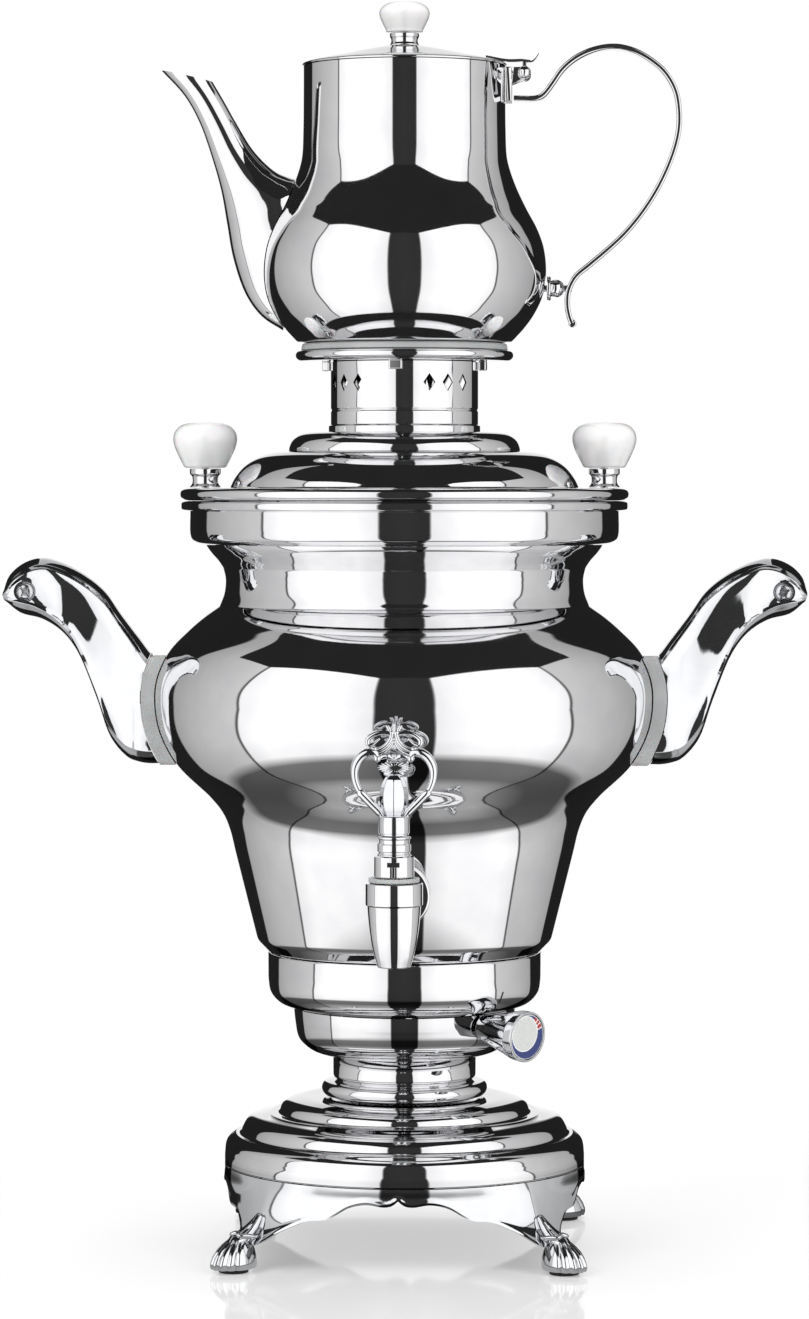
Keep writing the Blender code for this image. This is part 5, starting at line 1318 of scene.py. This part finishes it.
def makeLidKnobs():
    for word in ("left", "right"):
        node = "lid_knob_" + word
        middle = middleOf(node)
        knob = turned("porcelainKnob_" + word, traced(lidKnob["knob"]), porcelain,
                      at(middle.x, middle.y, lowZ(node)), midSteps, closed=False)
        rides(knob, "tank_lid", "white_porcelain", node)
        stem = turned("knobFerrule_" + word, traced(lidKnob["ferrule"]), steel,
                      at(middle.x, middle.y, lowZ("lid_knob_stem_" + word) + 3.0), smallSteps,
                      closed=False)
        rides(stem, "tank_lid", "polished_steel", "lid_knob_stem_" + word)


makeLid()
makeCrown()
makeLidKnobs()
print("lid and crown made")


# Teapot

teapot = {
    "outline": ((42.7, 116.6), (42.75, 104.0), (42.9, 90.0), (43.4, 79.0), (44.6, 73.6),
                (47.5, 65.6), (51.6, 57.0), (56.3, 48.2), (59.1, 40.2), (60.1, 29.9), (58.6, 19.8),
                (54.9, 11.8), (50.6, 5.8), (46.6, 1.4, 1.0), (45.2, 0.0, 0.8), (0, 0)),
    "strainerRows": 3, "strainerPitch": 7.0, "strainerRadius": 2.2, "strainerHeight": 40.0,
}
spout = {
    "reach": 103.1, "breadth": 14.5, "height": 116.6, "wall": 0.9, "sides": 48,
    "stations": (
        (1.000, 0.990, 0.789, 0.948, 0.46), (0.905, 0.898, 0.745, 0.882, 0.44),
        (0.843, 0.800, 0.693, 0.800, 0.45), (0.793, 0.675, 0.618, 0.695, 0.53),
        (0.755, 0.555, 0.535, 0.625, 0.68), (0.730, 0.430, 0.480, 0.603, 0.84),
        (0.706, 0.310, 0.426, 0.588, 0.95), (0.653, 0.175, 0.400, 0.570, 1.00),
        (0.587, 0.096, 0.360, 0.555, 1.00), (0.500, 0.045, 0.320, 0.540, 0.96),
    ),
}
strap = {
    "reach": 116.0, "drop": 94.5, "thickness": 2.3, "breadth": 11.0, "edge": 0.7,
    "shares": ((0.399, 0.144), (0.478, 0.144), (0.497, 0.136), (0.512, 0.1215), (0.540, 0.0765),
               (0.575, 0.0158), (0.625, -0.036), (0.690, -0.072), (0.764, -0.0854),
               (0.8335, -0.0674), (0.8995, -0.0225), (0.951, 0.034), (0.987, 0.1125),
               (1.000, 0.2024), (0.998, 0.292), (0.976, 0.398), (0.929, 0.5305), (0.870, 0.6475),
               (0.804, 0.7464), (0.742, 0.818), (0.676, 0.886), (0.6247, 0.940), (0.599, 1.003),
               (0.595, 1.066), (0.603, 1.120), (0.612, 1.149)),
}


def potJacket(distance, low=-2.0):
    line = offsetLine(traced(teapot["outline"], 8, rounded=False)[:-1], distance)
    line = [Vector((0, line[0].y + 4)), Vector((line[0].x, line[0].y + 4))] + line + [
        Vector((0, line[-1].y))]
    return turned("potJacket", line, steel, onAxis(lowZ("pot_body")), fineSteps, closed=False)


def spoutSections(inset):
    out, height = spout["reach"], spout["height"]
    heel = smoothPath([(-a * out, 0, b * height) for a, b, c, d, e in spout["stations"]], 5)
    throat = smoothPath([(-c * out, 0, d * height) for a, b, c, d, e in spout["stations"]], 5)
    wide = smoothPath([(e * spout["breadth"], i, 0) for i, (a, b, c, d, e) in
                       enumerate(spout["stations"])], 5)
    sections = []
    for back, inner, breadth in zip(heel, throat, wide):
        middle = (back + inner) / 2
        half = (inner - back) / 2
        length = half.length - inset
        along = half.normalized() * length
        side = Vector((0, breadth.x - inset, 0))
        sections.append([middle + along * math.cos(t) + side * math.sin(t)
                         for t in (2 * math.pi * i / spout["sides"] for i in range(spout["sides"]))])
    return sections


def makePot():
    base = lowZ("pot_body")
    pot = turned("teapotBody", shellLine(teapot["outline"])[:], steel, onAxis(base), fineSteps,
                 closed=False)
    rows = teapot["strainerRows"]
    holes = []
    for row in range(rows):
        for place in range(rows):
            holes.append(rodOf(
                "hole", teapot["strainerRadius"], 44, 64, steel,
                onAxis(base + teapot["strainerHeight"] + (row - 1) * teapot["strainerPitch"])
                @ at(0, (place - 1) * teapot["strainerPitch"], 0) @ facing(-90), 20))
    rivetHole = rodOf("rivetHole", 1.8, 44, 64, steel, onAxis(base + 23.0) @ facing(90), 20)
    combined(pot, "DIFFERENCE", joined(*holes), rivetHole)
    rides(pot, "teapot", "polished_steel", "pot_body")

    outer = spoutSections(0.0)
    inner = spoutSections(spout["wall"])
    bm = bmesh.new()
    outerRings = [[bm.verts.new(p) for p in ring] for ring in outer]
    innerRings = [[bm.verts.new(p) for p in ring] for ring in inner]
    count = spout["sides"]
    for rings, flip in ((outerRings, False), (innerRings, True)):
        for first, second in zip(rings, rings[1:]):
            for i in range(count):
                j = (i + 1) % count
                bm.faces.new((first[i], first[j], second[j], second[i]))
    for a, b in ((outerRings[0], innerRings[0]), (outerRings[-1], innerRings[-1])):
        for i in range(count):
            j = (i + 1) % count
            bm.faces.new((a[i], b[i], b[j], a[j]))
    piece = asPiece("teapotSpout", bm, steel, onAxis(base), sharp=60)
    combined(piece, "DIFFERENCE", potJacket(0.25))
    rides(piece, "teapot", "polished_steel", "pot_spout")


def strapMiddle():
    top = highZ("pot_body")
    return smoothPath([(out * strap["reach"], 0, top - down * strap["drop"])
                       for out, down in strap["shares"]], 6)


def makeStrap():
    line = strapMiddle()
    half, thick, edge = strap["breadth"] / 2, strap["thickness"] / 2, strap["edge"]
    corners = []
    for cy, cn, start in ((half - edge, thick - edge, 0), (edge - half, thick - edge, 90),
                          (edge - half, edge - thick, 180), (half - edge, edge - thick, 270)):
        for k in range(5):
            t = (start + k * 22.5) * degree
            corners.append((cy + edge * math.cos(t), cn + edge * math.sin(t)))
    sections = []
    for i, here in enumerate(line):
        ahead = (line[min(i + 1, len(line) - 1)] - line[max(i - 1, 0)]).normalized()
        normal = Vector((-ahead.z, 0, ahead.x))
        sections.append([here + Vector((0, y, 0)) + normal * n for y, n in corners])
    piece = asPiece("teapotHandleStrap", sweptMesh(sections), steel, onAxis(0), sharp=60)
    # the lower end is rolled over into a small bead
    end = line[-1]
    bead = turned("bead", traced([(0, half - 0.1), (1.7, half - 0.1, 0.5), (1.7, 0.1 - half, 0.5),
                                  (0, 0.1 - half)]), steel,
                  onAxis(0) @ at(end.x + 0.2, 0, end.z) @ facing(0), smallSteps, closed=False)
    rivet = rodOf("rivet", 1.8, 60, 75, steel, onAxis(lowZ("pot_body") + 23.0) @ facing(90), 20)
    combined(piece, "DIFFERENCE", rivet, sharp=50)
    joined(piece, bead)
    rides(piece, "teapot", "polished_steel", "pot_handle")

    low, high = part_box("pot_handle_spacer")
    far = high.x / mm
    ball = far - 6.9
    line = traced([
        (0, far), (1.4, far, 0.3), (1.4, ball + 3.55, 0.1), (2.7, ball + 2.68), (3.55, ball + 1.36),
        (3.8, ball), (3.62, ball - 1.15), (3.2, 62.0, 0.15), (4.6, 62.0), (5.1, 61.6), (5.2, 60.9, 0.2),
        (5.0, 60.4, 0.2), (1.4, 60.4, 0.1), (1.4, 56.0, 0.1), (2.6, 56.0, 0.2), (2.4, 54.8, 0.3),
        (0, 54.8),
    ])
    spacer = turned("teapotHandleSpacer", line, steel,
                    onAxis((low.z + high.z) / 2 / mm) @ facing(90), smallSteps, closed=False)
    rides(spacer, "teapot", "polished_steel", "pot_handle_spacer")


hinge = {"out": 50.8, "drop": 3.0, "barrel": 2.6, "bore": 1.5, "leafHalf": 2.2, "ear": 2.0,
         "ball": 2.7, "pin": 1.2}


def makeHinge():
    top = highZ("pot_body")
    hingeZ = top - hinge["drop"]
    outline = [(42.4, top - 0.4), (46.4, top - 0.5), (hinge["out"] - 0.4, hingeZ + hinge["barrel"])]
    for k in range(11):
        t = (80 - 170 * k / 10) * degree
        outline.append((hinge["out"] + hinge["barrel"] * math.cos(t),
                        hingeZ + hinge["barrel"] * math.sin(t)))
    outline += [(45.6, hingeZ - 4.6), (45.5, top - 15.2), (42.4, top - 15.2)]
    ears = []
    for side in (1, -1):
        ear = flatPlate("ear", [outline], hinge["ear"], steel,
                        onAxis(0) @ at(0, side * (hinge["leafHalf"] + 0.3 + hinge["ear"] / 2), 0))
        ears.append(bevelled(ear, 0.35, 2))
    back = blockOf("back", (2.9, 11.0, 14.6), steel, onAxis(top - 7.7) @ at(44.05, 0, 0))
    bevelled(back, 0.5, 3)
    bracket = combined(back, "UNION", *ears, sharp=40)
    bore = rodOf("bore", hinge["bore"], -12, 12, steel, onAxis(hingeZ) @ at(hinge["out"], 0, 0)
                 @ facing(0), 32)
    combined(bracket, "DIFFERENCE", bore, potJacket(0.25), sharp=40)
    bracket.name = "hingeBracket"
    rides(bracket, "teapot", "polished_steel", "hinge_bracket")

    half = hinge["leafHalf"] + 0.3 + hinge["ear"] + 0.3
    ball = hinge["ball"]
    line = [(0, half + ball * 2)]
    for k in range(1, 12):
        t = (90 - 150 * k / 12) * degree
        line.append((ball * math.cos(t), half + ball + ball * math.sin(t)))
    line.append((hinge["pin"], half))
    line += [(r, -z) for r, z in line[::-1]]
    pin = turned("hingePin", [Vector(p) for p in line], steel,
                 onAxis(hingeZ) @ at(hinge["out"], 0, 0) @ facing(0), smallSteps, closed=False)
    rides(pin, "teapot", "polished_steel", "hinge_pin")

    edgeTop = lidSurface(43.2) + 1.2
    bend = smoothPath([(34.4, 0, lidSurface(34.4) + 1.0), (43.3, 0, edgeTop), (49.6, 0, hingeZ + 5.5),
                       (53.4, 0, hingeZ + 5.2), (55.3, 0, hingeZ + 6.3), (56.8, 0, hingeZ + 8.4)], 5)
    sections = []
    for i, here in enumerate(bend):
        ahead = (bend[min(i + 1, len(bend) - 1)] - bend[max(i - 1, 0)]).normalized()
        normal = Vector((-ahead.z, 0, ahead.x))
        wide = hinge["leafHalf"] * (1.0 if here.x < 53 else 1 + (here.x - 53) * 0.05)
        thick = 0.62
        corner = [(wide, thick * 0.4), (wide * 0.94, thick), (-wide * 0.94, thick), (-wide, thick * 0.4),
                  (-wide, -thick * 0.4), (-wide * 0.94, -thick), (wide * 0.94, -thick),
                  (wide, -thick * 0.4)]
        sections.append([here + Vector((0, y, 0)) + normal * n for y, n in corner])
    leaf = asPiece("lidHingeLeaf", sweptMesh(sections), steel, onAxis(0), sharp=50)
    barrel = turned("barrel", traced([(hinge["barrel"], hinge["leafHalf"], 0.3),
                                      (hinge["barrel"], -hinge["leafHalf"], 0.3),
                                      (hinge["bore"], -hinge["leafHalf"]),
                                      (hinge["bore"], hinge["leafHalf"])]), steel,
                    onAxis(hingeZ) @ at(hinge["out"], 0, 0) @ facing(0), smallSteps)
    web = blockOf("web", (1.8, hinge["leafHalf"] * 2, 3.4), steel,
                  onAxis(hingeZ + 3.7) @ at(hinge["out"], 0, 0))
    joined(leaf, barrel, bevelled(web, 0.3, 2))
    rides(leaf, "teapot_lid", "polished_steel", "lid_hinge_leaf")


def lidSurface(radius):
    low = highZ("pot_body") + 0.3
    share = (43.2 - radius) / (43.2 - 6.2)
    return low + 1.0 + share * 7.6


def makePotLid():
    low = highZ("pot_body") + 0.3
    line = traced([
        (2.0, 8.6), (6.2, 8.6), (16.0, 6.9), (30.0, 3.9), (41.8, 1.35), (43.2, 0.75), (43.2, 0.0, 0.3),
        (41.0, 0.0, 0.3), (41.0, -5.0, 0.3), (40.2, -5.0, 0.3), (40.2, 0.5, 0.4), (30.0, 2.9),
        (6.2, 7.8), (2.0, 7.8, 0),
    ])
    lid = turned("teapotLid", line, steel, onAxis(low), fineSteps)
    rides(lid, "teapot_lid", "polished_steel", "pot_lid")
    ferrule = traced([(0, 13.2), (1.6, 13.2, 0.2), (1.6, 4.9, 0.1), (6.2, 4.9, 0.3), (6.2, 3.5, 0.3),
                      (5.8, 2.9), (5.6, 2.0), (5.7, 1.1), (6.1, 0.3), (6.2, 0.0, 0.1),
                      (1.6, 0.0, 0.1), (1.6, -1.4, 0.1), (2.8, -1.4, 0.1), (2.8, -3.0, 0.2),
                      (0, -3.0)])
    stem = turned("teapotKnobFerrule", ferrule, steel, onAxis(low + 8.6 + 0.3), smallSteps,
                  closed=False)
    rides(stem, "teapot_lid", "polished_steel", "pot_lid_knob_stem")
    knob = traced([(0, 13.1), (3.6, 13.05), (6.8, 12.6), (9.0, 11.4), (10.3, 9.8), (10.7, 8.3),
                   (10.2, 6.0), (9.1, 3.6), (8.0, 1.4), (7.6, 0.3), (7.0, 0.0, 0.3), (2.0, 0.0, 0.1),
                   (2.0, 8.4, 0.1), (0, 8.4)])
    top = turned("teapotPorcelainKnob", knob, porcelain, onAxis(lowZ("pot_lid_knob")), midSteps,
                 closed=False)
    rides(top, "teapot_lid", "white_porcelain", "pot_lid_knob")


makePot()
makeStrap()
makeHinge()
makePotLid()
print("teapot made")


# Inner pieces keep their solids and get their finishes

innerFinishes = {
    plainSteel: ("base_plate", "tie_rod", "tank_floor", "heating_element", "handle_stud_left",
                 "handle_stud_right", "tap_lock_nut", "tap_plug"),
    nylon: ("cord_gland",),
    steatite: ("terminal_block", "thermal_cutout", "thermostat"),
}
for finish, names in innerFinishes.items():
    for name in names:
        mesh = nodes[name].data
        if mesh.materials:
            for i in range(len(mesh.materials)):
                mesh.materials[i] = finish
        else:
            mesh.materials.append(finish)
print("inner finishes set")


# Studio: pale floor, soft light, and cards that only polished metal sees

studio = {
    "cameraBearing": 2.0, "distance": 2.9, "boxDistance": 2.7, "boxTop": 2.62, "boxLight": 1.25,
    "wallTop": 5.5,
    # tones that polished metal meets, by degrees from the camera, the same to the left and right
    "around": ((0.0, 0.030), (13.2, 0.026), (13.8, 0.84), (30.0, 1.0), (66.0, 1.0), (79.0, 0.86),
               (79.6, 0.02), (80.6, 0.02), (81.2, 0.56), (112.0, 0.42), (129.5, 0.33), (130.5, 0.012),
               (170.5, 0.012), (171.5, 0.8), (180.0, 0.8)),
    "boxFrom": 13.5, "boxTo": 80.0, "ceilingTone": 0.016,
    # how light polished metal sees the floor, by metres from the samovar: darker close by as a painted
    # shadow under the samovar
    "paintedShadowByDistance": ((0.10, 0.34), (0.15, 0.13), (0.24, 0.16), (0.29, 0.88), (0.45, 1.0)),
    "floorLift": 0.32, "fade": (0.42, 0.85), "mirror": 0.31,
    # tone of the air over the cards, by the share of a right angle from the horizon
    "sky": ((0.0, 1.0), (0.22, 0.86), (0.5, 0.6), (1.0, 0.45)),
}


def rampOf(tree, source, stops, interpolation="LINEAR"):
    ramp = addNode(tree, "ShaderNodeValToRGB", None, Fac=source)
    ramp.color_ramp.interpolation = interpolation
    elements = ramp.color_ramp.elements
    while len(elements) < len(stops):
        elements.new(1.0)
    for element, (place, tone) in zip(elements, stops):
        element.position = place
        element.color = grey(tone)
    return ramp.outputs[0]


def roundTheSamovar(tree):
    # the tone by bearing from the camera, and the distance from the samovar's axis
    where = addNode(tree, "ShaderNodeTexCoord").outputs["Object"]
    place = addNode(
        tree, "ShaderNodeMapping",
        {"vector_type": "TEXTURE", "Location": (0, axisY * mm, 0),
         "Rotation": (0, 0, studio["cameraBearing"] * degree)},
        Vector=where,
    ).outputs[0]
    xyz = addNode(tree, "ShaderNodeSeparateXYZ", None, i0=place).outputs
    away = addNode(tree, "ShaderNodeVectorMath", {"operation": "LENGTH"}, i0=place).outputs["Value"]
    ahead = addNode(tree, "ShaderNodeMath", {"operation": "MULTIPLY", 1: -1.0}, i0=xyz[1]).outputs[0]
    turn = addNode(tree, "ShaderNodeMath", {"operation": "ARCTAN2"}, i0=xyz[0], i1=ahead).outputs[0]
    turn = addNode(tree, "ShaderNodeMath", {"operation": "ABSOLUTE"}, i0=turn).outputs[0]
    share = addNode(tree, "ShaderNodeMath", {"operation": "DIVIDE", 1: math.pi}, i0=turn).outputs[0]
    tone = rampOf(tree, share, [(angle / 180, value) for angle, value in studio["around"]])
    return where, tone, away


def cardMaterial(name, tone=None):
    material = bpy.data.materials.new(name)
    material.use_nodes = True
    tree = material.node_tree
    tree.nodes.clear()
    glow = addNode(tree, "ShaderNodeEmission", {"Strength": studio["boxLight"]})
    if tone is None:
        tree.links.new(roundTheSamovar(tree)[1], glow.inputs["Color"])
    else:
        glow.inputs["Color"].default_value = grey(tone)
    out = addNode(tree, "ShaderNodeOutputMaterial")
    tree.links.new(glow.outputs[0], out.inputs[0])
    return material


def cardOf(name, bm, material):
    mesh = bpy.data.meshes.new(name)
    bm.to_mesh(mesh)
    bm.free()
    mesh.materials.append(material)
    card = bpy.data.objects.new(name, mesh)
    bpy.context.scene.collection.objects.link(card)
    card.visible_camera = False
    card.visible_diffuse = False
    card.visible_shadow = False
    card.visible_transmission = False
    card.visible_volume_scatter = False
    return card


def standingCard(name, bearings, distance, low, high, material):
    # a folded card by bearings from the camera in degrees, with its heights in metres
    bm = bmesh.new()
    rows = []
    for bearing in bearings:
        turn = (studio["cameraBearing"] + bearing) * degree
        x, y = distance * math.sin(turn), axisY * mm - distance * math.cos(turn)
        rows.append((bm.verts.new((x, y, low)), bm.verts.new((x, y, high))))
    for (a, b), (c, d) in zip(rows, rows[1:]):
        bm.faces.new((a, c, d, b))
    return cardOf(name, bm, material)


def makeStudio():
    cloth = cardMaterial("cardCloth")
    flag = cardMaterial("ceilingCloth", studio["ceilingTone"])
    boxFrom, boxTo, boxTop = studio["boxFrom"], studio["boxTo"], studio["boxTop"]
    away = studio["boxDistance"]
    # flat softboxes left and right of a dark gap, and a drum behind them
    standingCard("cameraFlag", (-boxFrom, boxFrom), away, 0.0, 6.0, cloth)
    for side, word in ((-1, "left"), (1, "right")):
        standingCard("softbox_" + word, (side * boxFrom, side * boxTo), away, 0.0, boxTop, cloth)
        walls = [side * (boxTo + (180 - boxTo) * i / 24) for i in range(25)]
        standingCard("wall_" + word, walls[:-2], studio["distance"], 0.0, studio["wallTop"], cloth)
    # the black ceiling over the front starts at the top of the softboxes
    bm = bmesh.new()
    turn = Matrix.Rotation(studio["cameraBearing"] * degree, 3, "Z")
    corners = [turn @ Vector((across, ahead, boxTop)) for across, ahead in (
        (-2.65, -2.9), (2.65, -2.9), (2.65, 0.9), (-2.65, 0.9))]
    bm.faces.new([bm.verts.new(p) for p in corners])
    cardOf("ceilingFlag", bm, flag)


def makeFloor():
    material, tree, shader = newMaterial("paleStudioFloor")
    tree.nodes.clear()
    where, around, away = roundTheSamovar(tree)
    # polished metal sees the cards run on over the floor, darkened close by with a painted shadow
    # painted shadow: the floor in reflections grows dark near the samovar's axis
    near = rampOf(tree, away, studio["paintedShadowByDistance"])
    mirrored = addNode(tree, "ShaderNodeVectorMath", {"operation": "MULTIPLY"}, i0=around, i1=near)
    seen = addNode(tree, "ShaderNodeEmission", {"Strength": studio["boxLight"]},
                   Color=mirrored.outputs[0])
    # the eye sees a pale lit floor with its shadow, that runs out into the white behind
    tone = noiseBetween(tree, where, 3.0, colour("#C6C6C6"), colour("#CCCCCC"))[1]
    dull = addNode(tree, "ShaderNodeBsdfDiffuse", None, Color=tone.outputs[0])
    shine = addNode(tree, "ShaderNodeBsdfAnisotropic", {"Roughness": 0.06})
    lit = addNode(tree, "ShaderNodeMixShader", {0: studio["mirror"]}, i1=dull.outputs[0],
                  i2=shine.outputs[0])
    lift = addNode(tree, "ShaderNodeEmission", {"Strength": studio["floorLift"]})
    both = addNode(tree, "ShaderNodeAddShader", None, i0=lit.outputs[0], i1=lift.outputs[0])
    beyond = addNode(tree, "ShaderNodeEmission", {"Strength": 1.0})
    far = rampOf(tree, away, ((studio["fade"][0], 0.0), (studio["fade"][1], 1.0)))
    floorSeen = addNode(tree, "ShaderNodeMixShader", None, i0=far, i1=both.outputs[0],
                        i2=beyond.outputs[0])
    path = addNode(tree, "ShaderNodeLightPath").outputs
    whole = addNode(tree, "ShaderNodeMixShader", None, i0=path["Is Glossy Ray"],
                    i1=floorSeen.outputs[0], i2=seen.outputs[0])
    out = addNode(tree, "ShaderNodeOutputMaterial")
    tree.links.new(whole.outputs[0], out.inputs[0])
    bm = bmesh.new()
    bmesh.ops.create_grid(bm, x_segments=1, y_segments=1, size=40)
    mesh = bpy.data.meshes.new("studioFloor")
    bm.to_mesh(mesh)
    bm.free()
    mesh.materials.append(material)
    floor = bpy.data.objects.new("studioFloor", mesh)
    bpy.context.scene.collection.objects.link(floor)


def makeWorld():
    world = bpy.data.worlds.new("studioAir")
    bpy.context.scene.world = world
    world.use_nodes = True
    tree = world.node_tree
    tree.nodes.clear()
    path = addNode(tree, "ShaderNodeLightPath").outputs
    seen = addNode(tree, "ShaderNodeMath", {"operation": "MAXIMUM"}, i0=path["Is Camera Ray"],
                   i1=path["Is Transmission Ray"])
    air = addNode(tree, "ShaderNodeBackground", {"Color": colour("#FFFFFF"), "Strength": 0.80})
    backdrop = addNode(tree, "ShaderNodeBackground", {"Color": (1, 1, 1, 1), "Strength": 1.0})
    where = addNode(tree, "ShaderNodeTexCoord").outputs["Generated"]
    up = addNode(tree, "ShaderNodeSeparateXYZ", None, i0=where).outputs[2]
    sky = addNode(tree, "ShaderNodeBackground", {"Strength": 1.0}, Color=rampOf(tree, up, studio["sky"]))
    mix = addNode(tree, "ShaderNodeMixShader", None, i0=seen.outputs[0], i1=air.outputs[0],
                  i2=backdrop.outputs[0])
    whole = addNode(tree, "ShaderNodeMixShader", None, i0=path["Is Glossy Ray"], i1=mix.outputs[0],
                    i2=sky.outputs[0])
    out = addNode(tree, "ShaderNodeOutputWorld")
    tree.links.new(whole.outputs[0], out.inputs[0])


lamps = (
    {"name": "leftSoftLight", "bearing": -45, "height": 1.5, "distance": 1.9, "size": 1.3, "power": 16},
    {"name": "rightSoftLight", "bearing": 50, "height": 1.4, "distance": 1.9, "size": 1.3, "power": 12},
    {"name": "topSoftLight", "bearing": 180, "height": 2.2, "distance": 0.5, "size": 1.4, "power": 14},
)


def makeLamps():
    for spec in lamps:
        light = bpy.data.lights.new(spec["name"], "AREA")
        light.shape = "DISK"
        light.size = spec["size"]
        light.energy = spec["power"]
        lamp = bpy.data.objects.new(spec["name"], light)
        bearing = (studio["cameraBearing"] + spec["bearing"]) * degree
        lamp.location = (spec["distance"] * math.sin(bearing), -spec["distance"] * math.cos(bearing),
                         spec["height"])
        aim = Vector((0, 0, 0.25)) - lamp.location
        lamp.rotation_euler = aim.to_track_quat("-Z", "Y").to_euler()
        lamp.visible_glossy = False
        bpy.context.scene.collection.objects.link(lamp)


def makeCamera():
    data = bpy.data.cameras.new("photographCamera")
    data.sensor_fit = "VERTICAL"
    data.sensor_height = 36
    data.lens = 120
    camera = bpy.data.objects.new("photographCamera", data)
    bpy.context.scene.collection.objects.link(camera)
    bearing = studio["cameraBearing"] * degree
    target = Vector((0, axisY * mm, 0.2505))
    camera.location = (1.87 * math.sin(bearing), axisY * mm - 1.87 * math.cos(bearing), 0.325)
    aim = target - Vector(camera.location)
    camera.rotation_euler = aim.to_track_quat("-Z", "Y").to_euler()
    bpy.context.scene.camera = camera


makeStudio()
makeFloor()
makeWorld()
makeLamps()
makeCamera()
bpy.context.scene.view_settings.view_transform = "Standard"
print("studio made")
